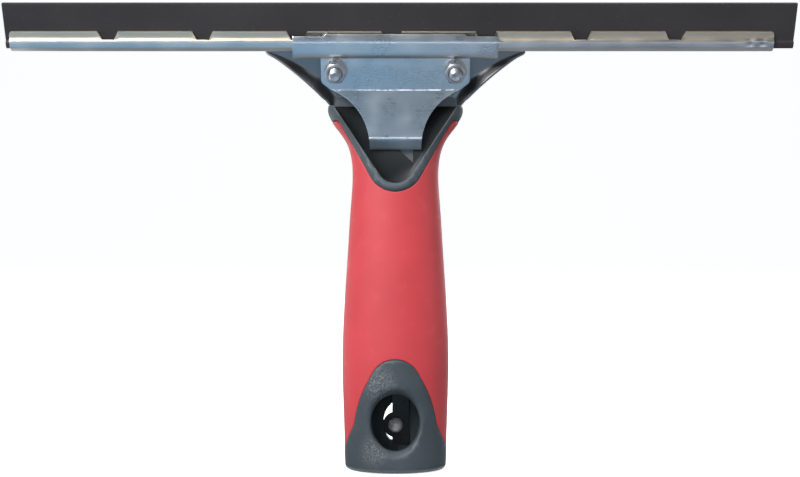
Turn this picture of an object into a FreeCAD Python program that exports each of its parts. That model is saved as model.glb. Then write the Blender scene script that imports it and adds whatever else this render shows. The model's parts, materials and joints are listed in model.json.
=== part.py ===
"""Window cleaning squeegee: steel clamp head with a rubber blade on a two-part moulded handle.

Millimetres. The origin is the centre of the handle's bottom face, +Z up the handle, +X along the
blade and -Y towards the front, the side of the clamp nuts. The head has a frame of its own, leaned
towards the front: its Z runs up the blade and its -Y is the outward normal of the clamp plates.
"""

import math
import os
from types import SimpleNamespace

import FreeCAD
import Part
import Sketcher

Vector = FreeCAD.Vector
Rotation = FreeCAD.Rotation
Placement = FreeCAD.Placement

# Sweep of the rear jaw's right flange: aside, outward in the head frame, and down its plate.
FLANGE_ASIDE, FLANGE_OUTWARD, FLANGE_DOWN = 0.45, 0.8, 0.4

# Alias, value and meaning of every driving size.
SIZES = [
    # head frame
    ("head_tilt", 25, "lean of the head towards the front, degrees"),
    ("head_back", -1.1, "Y of the head frame's origin, on the blade's mid-plane"),
    ("head_rise", 155.15, "Z of the head frame's origin, level with the front jaw's upper crease"),
    # rubber blade
    ("rubber_length", 315, "length of the rubber"),
    ("rubber_shift", 1.7, "how far the rubber stands to the right of centre"),
    ("rubber_foot", 16.9, "start of the rubber above the head origin"),
    ("rubber_tall", 18.1, "height of the rubber strip"),
    ("bead_wide", 4.6, "width of the bead in the channel"),
    ("bead_tall", 2.6, "height of the bead"),
    ("bead_chamfer", 0.75, "chamfer of the bead's lower corners"),
    ("web_wide", 2.8, "rubber thickness between the channel's lips"),
    ("edge_wide", 1.9, "rubber thickness at the wiping edge"),
    # channel
    ("channel_length", 305, "length of the channel"),
    ("channel_shift", -1.5, "how far the channel stands to the left of centre"),
    ("channel_foot", 15.7, "underside of the channel above the head origin"),
    ("channel_tall", 8.35, "height of the channel"),
    ("channel_sheet", 0.8, "sheet thickness of the channel"),
    ("bulge_wide", 6.8, "outside width round the bead"),
    ("lip_wide", 4.6, "outside width at the lips"),
    ("foot_wide", 4.0, "width of the flat underside"),
    ("bulge_low", 1.9, "height of the bulge's lower edge in the channel"),
    ("bulge_high", 4.8, "height of the bulge's upper edge in the channel"),
    ("lip_low", 5.6, "height at which the straight lips start"),
    ("notch_count", 7, "notches along the front lip"),
    ("notch_pitch", 37.7, "spacing of the notches"),
    ("notch_top", 8.4, "notch width at the lip's edge"),
    ("notch_base", 4.8, "notch width at its floor"),
    ("notch_deep", 3.1, "depth of a notch"),
    # clamp plates
    ("sheet", 1.2, "sheet thickness of both jaws"),
    ("jaw_gap", 4.0, "gap between the jaws' flat plates"),
    ("hook_start", 13.8, "where the hooks leave the plates, above the head origin"),
    ("hook_full", 15.2, "where the hooks reach their full depth"),
    ("hook_bend", 20.3, "where the hooks turn in over the channel"),
    ("hook_top", 22.9, "top of the hooks"),
    ("rear_hook_rise", 0.8, "how much higher the rear hook leaves its plate, clear of the bolt heads"),
    ("hook_play", 0.2, "play between a hook and the channel"),
    ("hook_length", 82, "length of the hooks"),
    ("hook_crown_length", 55.4, "length of the raised middle of the front hook"),
    ("hook_step", 0.9, "how much lower the front hook is beyond its raised middle"),
    ("plate_half", 30, "half width of the front jaw's upper plate"),
    ("plate_corner", 3.4, "height of the plate's bottom corners above the crease"),
    ("waist_half", 25.7, "half width of the front jaw at the crease"),
    ("tongue_half", 10.55, "half width of the tongue"),
    ("tongue_arc_height", 131.1, "height at which the side arcs run out into the tongue"),
    ("tongue_crease_back", -2.65, "Y of the front face at the tongue's crease"),
    ("tongue_crease_height", 134.5, "height of the tongue's crease"),
    ("tongue_end_height", 130.6, "height of the tongue's end"),
    ("bearing_gap", 0.05, "running gap under the tongue, at washers and at nuts"),
    # rear jaw
    ("wing_half", 52.4, "half width of the rear jaw at its wing tips"),
    ("wing_height", 14.4, "height of the wing tips above the head origin"),
    ("web_arc_radius", 52, "radius of the rear jaw's hollow side edges"),
    ("web_foot_half", 25.5, "half width of the rear jaw at the handle"),
    ("flange_reach", 14, "untrimmed reach of the side flanges"),
    ("flange_drop", 7.5, "untrimmed drop of the side flanges below the shank's bend"),
    ("flange_root", 1.44, "width of the side flanges' band along the web"),
    ("flange_foot_inset", 4.5, "how far the band's foot lies inside the web's foot"),
    ("silhouette_radius", 136, "radius of the flanges' front edge, seen from the front"),
    ("silhouette_foot_half", 26.6, "half width of the flanges at the handle"),
    ("shank_front", 2.6, "Y of the shank's front face"),
    ("shank_top_half", 24, "half width of the shank at the collar"),
    ("shank_neck_half", 8.7, "half width of the shank at its neck"),
    ("shank_neck_height", 118, "height of the shank's neck"),
    ("shank_end_half", 7, "half width of the shank's end"),
    ("shank_end_height", 95, "height of the shank's end"),
    ("shank_play", 0.05, "play of the shank in its slot"),
    # fasteners
    ("bolt_spacing", 48, "distance between the clamp bolts"),
    ("bolt_height", 8.4, "bolt axis above the head origin"),
    ("bolt_radius", 2.5, "M5 bolt"),
    ("bolt_proud", 4.0, "bolt end beyond the nut"),
    ("bolt_chamfer", 0.7, "chamfer at the bolt end"),
    ("bolt_head_radius", 5.2, "round bolt head"),
    ("bolt_head_tall", 2.4, "height of the bolt head"),
    ("bolt_neck_proud", 0.1, "how far the square neck's faces stand outside the thread"),
    ("bolt_hole_radius", 3.2, "clearance hole in the front jaw"),
    ("washer_radius", 4.6, "outside radius of the lock washers"),
    ("washer_play", 0.15, "radial play of a lock washer on its bolt"),
    ("washer_thick", 1.2, "thickness of the lock washers"),
    ("washer_split", 1.0, "gap of the lock washers' split"),
    ("nut_flats", 8, "width across the nuts' flats"),
    ("nut_thick", 4, "thickness of the nuts"),
    ("nut_bevel", 0.6, "height of the nuts' corner bevel over its depth"),
    ("thread_play", 0.05, "radial play of a nut on its bolt"),
    # handle
    ("foot_round", 1.8, "rounding of the handle's bottom edge"),
    ("grip_wall", 1.8, "thickness of the soft grip"),
    ("grip_top_height", 141.2, "top of the grip at the sides"),
    ("grip_back_height", 139.5, "top of the grip at the back"),
    ("grip_v_height", 112.4, "bottom of the grip's V"),
    ("grip_v_radius", 11.5, "rounding of the grip's V"),
    ("grip_v_lean", 29.5, "lean of the V's flanks, degrees"),
    ("mouth_height", 115.7, "bottom of the mouth in the collar"),
    ("mouth_radius", 7.6, "rounding of the mouth"),
    ("mouth_lean", 33.4, "lean of the mouth's flanks, degrees"),
    ("mouth_floor", 1.2, "Y of the mouth's floor"),
    ("sight_left", -1.9, "left corner of the triangular sight opening in the mouth's floor"),
    ("sight_right", 7.2, "right side of the sight opening"),
    ("sight_top", 133, "top of the sight opening"),
    ("sight_bottom", 124.6, "bottom corner of the sight opening"),
    ("panel_top", 45.4, "top of the bare panels at the foot of the handle"),
    ("panel_crown_radius", 10.4, "radius of the panels' crown"),
    ("panel_knee_half", 9.776, "half width of the panels where the crown meets the flanks"),
    ("panel_knee_drop", 6.864, "drop of that knee below the panels' top"),
    ("panel_half", 16.6, "half width of the panels at the windows"),
    ("panel_waist_height", 19, "height at which the panels start to flare"),
    ("panel_flank_radius", 47, "radius of the panels' flanks"),
    ("panel_flare_half", 21.6, "half width of the panels' flared foot"),
    ("panel_flare_height", 7, "height at which the flare meets the sides"),
    # pole socket and its lock
    ("bore_radius", 11, "pole socket"),
    ("bore_deep", 62, "depth of the pole socket"),
    ("relief_radius", 11.4, "relieved part of the pole socket, round its lock"),
    ("relief_low", 7, "bottom of the relief"),
    ("relief_high", 46.5, "top of the relief"),
    ("core_bore_radius", 8.5, "lightening bore above the socket"),
    ("core_bore_top", 90, "top of the lightening bore"),
    ("window_wide", 19.5, "width of the front window"),
    ("window_tall", 22.7, "height of the front window"),
    ("window_height", 20.1, "centre of the front window"),
    ("dish_margin", 3.2, "how much the dished rim is wider than the window at its outer plane"),
    ("dish_outer", -16.6, "Y of the dish's outer plane"),
    ("dish_inner", -12.6, "Y of the dish's inner plane"),
    ("port_wide", 10.1, "width of the back port"),
    ("port_tall", 16.2, "height of the back port"),
    ("port_height", 16.9, "centre of the back port"),
    ("leaf_front", 11.9, "Y of the leaf's front face"),
    ("leaf_thick", 0.5, "thickness of the leaf spring"),
    ("leaf_left", -1.4, "left edge of the leaf"),
    ("leaf_wide", 7, "width of the leaf"),
    ("leaf_bottom", 7.6, "lower end of the leaf"),
    ("leaf_top", 46, "upper end of the leaf"),
    ("eye_radius", 4.85, "radius of the leaf's eye round the ball"),
    ("recess_margin", 0.5, "play round the leaf in its recess"),
    ("recess_shallow", 12.45, "Y of the recess's floor behind the fixed end"),
    ("recess_free", 14, "Y of the recess's floor behind the free end"),
    ("recess_step", 32, "height at which the recess deepens"),
    ("ball_height", 15.9, "height of the lock ball"),
    ("ball_radius", 3.1, "radius of the lock ball"),
    ("ball_proud", 3.0, "how far the ball stands into the socket"),
    ("stud_radius", 1.6, "shank of the lock ball"),
    ("stud_head_radius", 2.4, "riveted end of the lock ball"),
    ("stud_head_thick", 0.7, "thickness of the riveted end"),
    ("lock_play", 0.05, "play of the ball's shank in the leaf"),
    ("leaf_rivet_low", 35.5, "height of the leaf's lower rivet"),
    ("leaf_rivet_high", 41.5, "height of the leaf's upper rivet"),
    ("leaf_rivet_radius", 1.5, "leaf rivets"),
    ("leaf_rivet_head", 2.5, "radius of the leaf rivets' heads"),
    ("leaf_rivet_inner_thick", 0.7, "thickness of the heads in the socket"),
    ("leaf_rivet_seat", 14.6, "Y of the outer heads' seat"),
    ("leaf_rivet_outer_thick", 1.1, "thickness of the outer heads"),
    ("shank_rivet_low", 99.5, "height of the lower shank rivet"),
    ("shank_rivet_high", 107.5, "height of the upper shank rivet"),
    ("shank_rivet_radius", 2, "shank rivets"),
    ("shank_rivet_head", 3.4, "radius of the shank rivets' heads"),
    ("shank_rivet_head_thick", 1.2, "thickness of the shank rivets' heads"),
    ("shank_rivet_half_length", 10.2, "half length of the shank rivets"),
]

# Stations of the handle's elliptical sections, from the foot up: name, height, half width, half depth.
STATIONS = [
    ("foot", 0, 20.4, 15.4),
    ("heel", 14, 20.8, 15.5),
    ("thumb", 28, 21.25, 15.6),
    ("belly", 44, 21.6, 15.6),
    ("palm", 60, 21.15, 15.3),
    ("grasp", 76, 20.2, 14.6),
    ("finger", 92, 19.15, 13.7),
    ("neck", 106, 18.25, 13.0),
    ("waist", 117, 17.5, 12.4),
    ("throat", 126, 17.95, 12.0),
    ("flare", 134.5, 21.1, 11.8),
    ("shoulder", 142.5, 26.6, 11.7),
    ("rim", 147.6, 27.4, 11.7),
]


# ---------------------------------------------------------------- sizes


class Size:
    """A length or angle that carries its number and its formula in the sheet together."""

    def __init__(self, number, formula):
        self.number = number
        self.formula = formula

    def __add__(self, other):
        return Size(self.number + number(other), f"({self.formula} + {formula(other)})")

    def __radd__(self, other):
        return self + other

    def __sub__(self, other):
        return Size(self.number - number(other), f"({self.formula} - {formula(other)})")

    def __rsub__(self, other):
        return Size(number(other) - self.number, f"({formula(other)} - {self.formula})")

    def __mul__(self, other):
        return Size(self.number * number(other), f"({self.formula} * {formula(other)})")

    def __rmul__(self, other):
        return self * other

    def __truediv__(self, other):
        return Size(self.number / number(other), f"({self.formula} / {formula(other)})")

    def __neg__(self):
        return Size(-self.number, f"(0 - {self.formula})")


def number(value):
    return value.number if isinstance(value, Size) else value


def formula(value):
    return value.formula if isinstance(value, Size) else repr(value)


def sine(angle):
    return Size(math.sin(math.radians(angle.number)), f"sin({angle.formula})")


def cosine(angle):
    return Size(math.cos(math.radians(angle.number)), f"cos({angle.formula})")


def tangent(angle):
    return Size(math.tan(math.radians(angle.number)), f"tan({angle.formula})")


def write_sheet(doc):
    """Fills the spreadsheet and returns its sizes as attributes named by their aliases."""
    sheet = doc.addObject("Spreadsheet::Sheet", "sizes")
    rows = list(SIZES)
    for name, height, half_width, half_depth in STATIONS:
        rows.append((name + "_height", height, name + " section, height"))
        rows.append((name + "_half_width", half_width, name + " section, half width"))
        rows.append((name + "_half_depth", half_depth, name + " section, half depth"))
    named = SimpleNamespace()
    for row, (alias, value, meaning) in enumerate(rows, start=1):
        sheet.set(f"A{row}", meaning)
        sheet.set(f"B{row}", str(value))
        sheet.setAlias(f"B{row}", alias)
        setattr(named, alias, Size(value, f"sizes.{alias}"))
    doc.recompute()
    return named


doc = FreeCAD.newDocument("squeegee")
s = write_sheet(doc)

LEAN_SINE = sine(s.head_tilt)
LEAN_COSINE = cosine(s.head_tilt)


# ---------------------------------------------------------------- drawing helpers


def bind(obj, **values):
    """Sets properties of an object from sizes; a double underscore stands for a dot."""
    for name, value in values.items():
        obj.setExpression(name.replace("__", "."), formula(value))


def place(obj, base=(0, 0, 0), axis=Vector(1, 0, 0), angle=0):
    """Gives an object its place, and binds each coordinate that follows the sheet."""
    obj.Placement = Placement(Vector(*map(number, base)), Rotation(axis, number(angle)))
    for letter, value in zip("xyz", base):
        if isinstance(value, Size):
            obj.setExpression("Placement.Base." + letter, value.formula)
    if isinstance(angle, Size):
        obj.setExpression("Placement.Rotation.Angle", angle.formula)


def head_point(outward, up):
    """Y and Z in the handle frame of a point given in the head frame."""
    return (
        s.head_back - LEAN_COSINE * outward - LEAN_SINE * up,
        s.head_rise - LEAN_SINE * outward + LEAN_COSINE * up,
    )


def place_in_head(obj, x=0, outward=0, up=0, extra_turn=0):
    """Places an object in the leaned head frame."""
    y, z = head_point(outward, up)
    place(obj, (x, y, z), Vector(1, 0, 0), s.head_tilt + extra_turn)


def origin_plane(body, role):
    return next(feature for feature in body.Origin.OriginFeatures if feature.Role == role)


def body_sketch(body, name, role):
    sketch = body.newObject("Sketcher::SketchObject", name)
    sketch.AttachmentSupport = [(origin_plane(body, role), "")]
    sketch.MapMode = "FlatFace"
    return sketch


UPRIGHT_SIDE = (Vector(1, 1, 1), 120)  # sketch x along Y and sketch y along Z
UPRIGHT_FRONT = (Vector(1, 0, 0), 90)  # sketch x along X and sketch y along Z


def free_sketch(name, turn):
    sketch = doc.addObject("Sketcher::SketchObject", name)
    sketch.Placement = Placement(Vector(), Rotation(*turn))
    return sketch


def arc_between(start, end, radius):
    """The shorter arc from start to end; a positive radius turns left, a negative one right."""
    chord = end - start
    middle = (start + end) * 0.5
    rise = math.sqrt(max(radius * radius - chord.Length**2 / 4, 0))
    left = Vector(-chord.y, chord.x, 0).normalize()
    centre = middle + left * (rise if radius > 0 else -rise)
    first, last = (start, end) if radius > 0 else (end, start)
    angles = [math.atan2(p.y - centre.y, p.x - centre.x) for p in (first, last)]
    circle = Part.Circle(centre, Vector(0, 0, 1), abs(radius))
    return Part.ArcOfCircle(circle, angles[0], angles[1])


def draw(sketch, *corners, closed=True):
    """Draws an outline through corners (x, y) or (x, y, radius of the arc that arrives there)."""
    count = len(corners)
    spots = [Vector(number(c[0]), number(c[1]), 0) for c in corners]
    ends = []
    for i in range(count if closed else count - 1):
        target = (i + 1) % count
        radius = corners[target][2] if len(corners[target]) > 2 else None
        if radius is None:
            index = sketch.addGeometry(Part.LineSegment(spots[i], spots[target]), False)
            ends.append((index, 1, 2))
            continue
        index = sketch.addGeometry(arc_between(spots[i], spots[target], number(radius)), False)
        ends.append((index, 1, 2) if number(radius) > 0 else (index, 2, 1))
        fixed = sketch.addConstraint(Sketcher.Constraint("Radius", index, abs(number(radius))))
        length = radius if number(radius) > 0 else -radius
        sketch.setExpression(f"Constraints[{fixed}]", formula(length))
    for (before, _, before_end), (after, after_start, _) in zip(ends, ends[1:]):
        sketch.addConstraint(Sketcher.Constraint("Coincident", before, before_end, after, after_start))
    if closed:
        last, first = ends[-1], ends[0]
        sketch.addConstraint(Sketcher.Constraint("Coincident", last[0], last[2], first[0], first[1]))
    for i, corner in enumerate(corners):
        index, end = (ends[i][0], ends[i][1]) if i < len(ends) else (ends[-1][0], ends[-1][2])
        for kind, value in (("DistanceX", corner[0]), ("DistanceY", corner[1])):
            fixed = sketch.addConstraint(
                Sketcher.Constraint(kind, -1, 1, index, end, float(number(value)))
            )
            if isinstance(value, Size):
                sketch.setExpression(f"Constraints[{fixed}]", value.formula)
    return sketch


def mirrored(*corners):
    """A right half outline from the bottom up, closed with its mirror image on the left."""
    left = []
    for i in range(len(corners) - 1, -1, -1):
        radius = corners[i + 1][2] if i + 1 < len(corners) and len(corners[i + 1]) > 2 else None
        spot = (-corners[i][0], corners[i][1])
        left.append(spot if radius is None else spot + (radius,))
    return list(corners) + left


def extrude(name, base, length, direction=None, both_ways=False):
    solid = doc.addObject("Part::Extrusion", name)
    solid.Base = base
    solid.DirMode = "Normal" if direction is None else "Custom"
    if direction is not None:
        solid.Dir = Vector(*map(number, direction))
        for letter, value in zip("xyz", direction):
            if isinstance(value, Size):
                solid.setExpression("Dir." + letter, value.formula)
    solid.Solid = True
    solid.Symmetric = both_ways
    solid.LengthFwd = number(length)
    if isinstance(length, Size):
        bind(solid, LengthFwd=length)
    return solid


def cylinder(name, radius, length, base, axis, angle=0):
    solid = doc.addObject("Part::Cylinder", name)
    bind(solid, Radius=radius, Height=length)
    place(solid, base, axis, angle)
    return solid


def box(name, low, high):
    solid = doc.addObject("Part::Box", name)
    for edge, a, b in zip(("Length", "Width", "Height"), low, high):
        solid.setExpression(edge, formula(b - a))
    place(solid, low)
    return solid


def fuse(name, *shapes):
    joined = doc.addObject("Part::MultiFuse", name)
    joined.Shapes = list(shapes)
    return joined


def cut(name, base, *tools):
    """Takes the tools away from the base."""
    result = doc.addObject("Part::Cut", name)
    result.Base = base
    result.Tool = tools[0] if len(tools) == 1 else fuse(name + "_tools", *tools)
    return result


def common(name, *shapes):
    shared = doc.addObject("Part::MultiCommon", name)
    shared.Shapes = list(shapes)
    return shared


def revolve(body, sketch):
    turned = body.newObject("PartDesign::Revolution", "turned")
    turned.Profile = sketch
    turned.ReferenceAxis = (sketch, ["V_Axis"])
    turned.Angle = 360
    sketch.Visibility = False
    return turned


def pad(body, sketch, length, both_ways=False):
    feature = body.newObject("PartDesign::Pad", "pad")
    feature.Profile = sketch
    feature.Midplane = both_ways
    bind(feature, Length=length)
    return feature


NODES = []


def finished(obj, name):
    """Names a finished sub-part."""
    obj.Label = name
    NODES.append(obj)
    return obj


def new_body(name):
    return finished(doc.addObject("PartDesign::Body", "body_" + name), name)


# ---------------------------------------------------------------- blade


def make_rubber_blade():
    body = new_body("rubber_blade")
    bead_top = s.rubber_foot + s.bead_tall
    tip = s.rubber_foot + s.rubber_tall
    section = draw(
        body_sketch(body, "rubber_section", "YZ_Plane"),
        *mirrored(
            (s.bead_wide / 2 - s.bead_chamfer, s.rubber_foot),
            (s.bead_wide / 2, s.rubber_foot + s.bead_chamfer),
            (s.bead_wide / 2, bead_top),
            (s.web_wide / 2, bead_top + s.bead_tall / 4),
            (s.web_wide / 2, s.channel_foot + s.channel_tall),
            (s.edge_wide / 2, tip),
        ),
    )
    pad(body, section, s.rubber_length, both_ways=True)
    place_in_head(body, x=s.rubber_shift)


def make_channel():
    """A folded channel whose bulge holds the rubber's bead; its front lip has a row of notches."""
    body = new_body("blade_channel")
    foot, wall = s.channel_foot, s.channel_sheet
    top = foot + s.channel_tall
    section = draw(
        body_sketch(body, "channel_section", "YZ_Plane"),
        (-s.foot_wide / 2, foot),
        (s.foot_wide / 2, foot),
        (s.bulge_wide / 2, foot + s.bulge_low),
        (s.bulge_wide / 2, foot + s.bulge_high),
        (s.lip_wide / 2, foot + s.lip_low),
        (s.lip_wide / 2, top),
        (s.lip_wide / 2 - wall, top),
        (s.lip_wide / 2 - wall, foot + s.lip_low - wall / 4),
        (s.bulge_wide / 2 - wall, foot + s.bulge_high - wall / 4),
        (s.bulge_wide / 2 - wall, foot + s.bulge_low + wall / 4),
        (s.foot_wide / 2 - wall / 4, foot + wall),
        (wall / 4 - s.foot_wide / 2, foot + wall),
        (wall - s.bulge_wide / 2, foot + s.bulge_low + wall / 4),
        (wall - s.bulge_wide / 2, foot + s.bulge_high - wall / 4),
        (wall - s.lip_wide / 2, foot + s.lip_low - wall / 4),
        (wall - s.lip_wide / 2, top),
        (-s.lip_wide / 2, top),
        (-s.lip_wide / 2, foot + s.lip_low),
        (-s.bulge_wide / 2, foot + s.bulge_high),
        (-s.bulge_wide / 2, foot + s.bulge_low),
    )
    pad(body, section, s.channel_length, both_ways=True)
    doc.recompute()
    first = -(s.notch_count - 1) * s.notch_pitch / 2
    floor = top - s.notch_deep
    outline = draw(
        body_sketch(body, "notch_outline", "XZ_Plane"),
        (first - s.notch_base / 2, floor),
        (first + s.notch_base / 2, floor),
        (first + s.notch_top / 2, top),
        (first - s.notch_top / 2, top),
    )
    notch = body.newObject("PartDesign::Pocket", "notch")
    notch.Profile = outline
    notch.Reversed = True  # towards the front lip only
    bind(notch, Length=s.bulge_wide)
    doc.recompute()
    row = body.newObject("PartDesign::LinearPattern", "notch_row")
    row.Originals = [notch]
    row.Direction = (outline, ["H_Axis"])
    bind(row, Length=(s.notch_count - 1) * s.notch_pitch, Occurrences=s.notch_count)
    body.Tip = row
    place_in_head(body, x=s.channel_shift)


# ---------------------------------------------------------------- clamp jaws


def hook_points(side):
    """Inner face of a hook in the head frame, from its foot up; side is 1 in front, -1 at the back."""
    flat = s.jaw_gap / 2 * side
    full = (s.bulge_wide / 2 + s.hook_play) * side
    lip = (s.lip_wide / 2 + s.hook_play) * side
    rise = 0 if side > 0 else s.rear_hook_rise
    return [
        head_point(flat, s.hook_start + rise),
        head_point(full, s.hook_full + rise),
        head_point(full, s.hook_bend),
        head_point(lip, s.hook_top),
    ]


def bent_sheet(name, points, thickness):
    """A strip folded along a side-view line of its inner face, as wide as the hooks."""
    line = draw(free_sketch(name + "_line", UPRIGHT_SIDE), *points, closed=False)
    face = doc.addObject("Part::Offset2D", name + "_thick")
    face.Source = line
    face.Mode = "Skin"
    face.Fill = True
    face.Value = number(thickness)
    bind(face, Value=thickness)
    return extrude(name + "_strip", face, s.hook_length, both_ways=True)


def front_outline():
    """Front view of the front jaw: hook, plate with cropped corners, hollow sides, tongue."""
    crease_height = head_point(s.jaw_gap / 2 + s.sheet, 0)[1]
    corner_height = crease_height + LEAN_COSINE * s.plate_corner
    hook_foot = head_point(s.jaw_gap / 2 + s.sheet, s.hook_start)[1]
    shoulder = head_point(s.bulge_wide / 2, s.hook_top - s.hook_step)[1]
    drop = crease_height - s.tongue_arc_height
    gain = s.waist_half - s.tongue_half
    # The side arc runs out upright at the tongue and passes through the crease's end.
    radius = (gain * gain + drop * drop) / (2 * gain)
    return draw(
        free_sketch("front_jaw_outline", UPRIGHT_FRONT),
        *mirrored(
            (s.tongue_half, s.tongue_end_height - s.tongue_half),
            (s.tongue_half, s.tongue_arc_height),
            (s.waist_half, crease_height, -radius),
            (s.plate_half, corner_height),
            (s.plate_half, hook_foot),
            (s.hook_length / 2, hook_foot),
            (s.hook_length / 2, shoulder),
            (s.hook_crown_length / 2 + s.hook_step, shoulder),
            (s.hook_crown_length / 2, shoulder + s.hook_step),
            (s.hook_crown_length / 2, shoulder + s.hook_length / 4),
        ),
    )


def make_front_jaw():
    tongue_y = s.tongue_crease_back + s.sheet
    plate_foot = head_point(s.jaw_gap / 2, 0)
    bearing = (s.mouth_floor - s.bearing_gap, s.tongue_end_height)
    points = [bearing, (tongue_y, s.tongue_crease_height), plate_foot] + hook_points(1)
    sheet = bent_sheet("front_jaw", points, -s.sheet)
    outline = extrude("front_jaw_blank", front_outline(), s.hook_length, both_ways=True)
    shaped = common("front_jaw_shaped", sheet, outline)
    holes = bolt_holes("front_jaw_hole", s.bolt_hole_radius, s.jaw_gap / 4, s.jaw_gap / 2 + s.sheet * 2)
    finished(cut("front_jaw_cut", shaped, *holes), "front_jaw")


def bolt_holes(name, radius, start, length):
    """Round tools along both bolt axes, starting at the given distance in front of the mid-plane."""
    tools = []
    for side, sign in (("left", -1), ("right", 1)):
        tool = doc.addObject("Part::Cylinder", f"{name}_{side}")
        bind(tool, Radius=radius, Height=length)
        place_in_head(tool, s.bolt_spacing / 2 * sign, start, s.bolt_height, 90)
        tools.append(tool)
    return tools


def make_rear_jaw():
    """Web plate, rear hook, shank and two side flanges turned towards the front."""
    back = s.jaw_gap / 2 + s.sheet
    # Web: a flat plate in the head frame, between the wing tips and the handle.
    bend = (s.head_back + LEAN_COSINE * s.jaw_gap / 2 - s.shank_front) / LEAN_SINE
    outline = draw(
        free_sketch("web_outline", UPRIGHT_FRONT),
        *mirrored(
            (s.web_foot_half, bend),
            (s.wing_half, s.wing_height, -s.web_arc_radius),
            (s.wing_half, s.channel_foot - s.hook_play),
        ),
    )
    place_in_head(outline, outward=-s.jaw_gap / 2, extra_turn=90)
    web = extrude("web", outline, -s.sheet)
    hook = bent_sheet("rear_hook", hook_points(-1), s.sheet)
    # Shank: an upright plate that narrows down into the handle.
    shank_top = head_point(-back, bend)[1]
    shank_outline = draw(
        free_sketch("shank_outline", UPRIGHT_FRONT),
        *mirrored(
            (s.shank_end_half, s.shank_end_height),
            (s.shank_neck_half, s.shank_neck_height),
            (s.shank_top_half, s.rim_height),
            (s.web_foot_half, s.rim_height + s.sheet / 4),
            (s.web_foot_half, shank_top),
        ),
    )
    place(shank_outline, (0, s.shank_front + s.sheet, 0), Vector(1, 0, 0), 90)
    shank = extrude("shank", shank_outline, s.sheet)
    # Flange: a band along the web's hollow edge, swept outwards, forwards and down.
    root = s.flange_root / 2
    foot_half = s.web_foot_half - s.flange_foot_inset
    band = draw(
        free_sketch("flange_band", UPRIGHT_FRONT),
        (foot_half - root, bend - s.flange_drop),
        (s.wing_half, s.wing_height + root, -s.web_arc_radius),
        (s.wing_half, s.wing_height - root),
        (foot_half + root, bend - s.flange_drop, s.web_arc_radius),
    )
    place_in_head(band, outward=-back, extra_turn=90)
    forward_y = -FLANGE_OUTWARD * LEAN_COSINE + FLANGE_DOWN * LEAN_SINE
    forward_z = -FLANGE_OUTWARD * LEAN_SINE - FLANGE_DOWN * LEAN_COSINE
    right = extrude("flange_right", band, s.flange_reach, (FLANGE_ASIDE, forward_y, forward_z))
    left = doc.addObject("Part::Mirroring", "flange_left")
    left.Source = right
    left.Normal = Vector(1, 0, 0)
    # The flanges' front edges, seen from the front, follow one long hollow curve on each side.
    wing_z = head_point(-s.jaw_gap / 2, s.channel_foot)[1]
    silhouette = draw(
        free_sketch("silhouette", UPRIGHT_FRONT),
        *mirrored(
            (s.silhouette_foot_half, s.rim_height + s.sheet / 4),
            (s.wing_half, wing_z - s.sheet, -s.silhouette_radius),
            (s.wing_half, wing_z + s.sheet),
        ),
    )
    blank = extrude("silhouette_blank", silhouette, s.hook_length, both_ways=True)
    flanges = common("flanges", fuse("both_flanges", right, left), blank)
    squares = []
    for side, sign in (("left", -1), ("right", 1)):
        square = doc.addObject("Part::Box", "neck_hole_" + side)
        play = s.bolt_radius + s.bolt_neck_proud + s.thread_play
        bind(square, Length=play * 2, Width=play * 2, Height=s.sheet * 3)
        low = s.bolt_height - play
        place_in_head(square, s.bolt_spacing / 2 * sign - play, -back - s.sheet, low, 90)
        squares.append(square)
    rivet_holes = shank_rivet_tools("shank_hole", s.shank_rivet_radius, s.shank_rivet_half_length)
    plate = fuse("rear_jaw_plate", web, hook, shank, flanges)
    finished(cut("rear_jaw_cut", plate, *squares, *rivet_holes), "rear_jaw")


# ---------------------------------------------------------------- fasteners


def make_clamp_bolt(side, sign):
    """Round head behind the rear jaw, square neck in its square hole, plain M5 shaft."""
    body = new_body("clamp_bolt_" + side)
    seat = s.jaw_gap / 2 + s.sheet
    end = seat + s.washer_thick + s.nut_thick + s.bearing_gap * 2 + s.bolt_proud
    turned = draw(
        body_sketch(body, "bolt_section", "XZ_Plane"),
        (0, -seat - s.bolt_head_tall),
        (s.bolt_head_radius / 2, -seat - s.bolt_head_tall),
        (s.bolt_head_radius, -seat - s.bolt_head_tall / 4, s.bolt_head_radius),
        (s.bolt_head_radius, -seat),
        (s.bolt_radius, -seat),
        (s.bolt_radius, end - s.bolt_chamfer),
        (s.bolt_radius - s.bolt_chamfer, end),
        (0, end),
    )
    revolve(body, turned)
    doc.recompute()
    half = s.bolt_radius + s.bolt_neck_proud
    neck = body_sketch(body, "bolt_neck", "XY_Plane")
    neck.setExpression("AttachmentOffset.Base.z", formula(-seat))
    draw(neck, (-half, -half), (half, -half), (half, half), (-half, half))
    pad(body, neck, s.sheet)
    place_in_head(body, s.bolt_spacing / 2 * sign, 0, s.bolt_height, 90)


def make_lock_washer(side, sign):
    body = new_body("lock_washer_" + side)
    bore = s.bolt_radius + s.washer_play
    ring = draw(
        body_sketch(body, "washer_section", "XZ_Plane"),
        (bore, 0),
        (s.washer_radius, 0),
        (s.washer_radius, s.washer_thick),
        (bore, s.washer_thick),
    )
    revolve(body, ring)
    doc.recompute()
    split = draw(
        body_sketch(body, "washer_split", "XY_Plane"),
        (-s.washer_split / 2, bore / 2),
        (s.washer_split / 2, bore / 2),
        (s.washer_split / 2, s.washer_radius * 1.5),
        (-s.washer_split / 2, s.washer_radius * 1.5),
    )
    slot = body.newObject("PartDesign::Pocket", "split")
    slot.Profile = split
    slot.Midplane = True
    bind(slot, Length=s.washer_thick * 4)
    face = s.jaw_gap / 2 + s.sheet + s.bearing_gap
    place_in_head(body, s.bolt_spacing / 2 * sign, face, s.bolt_height, 90)


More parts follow.
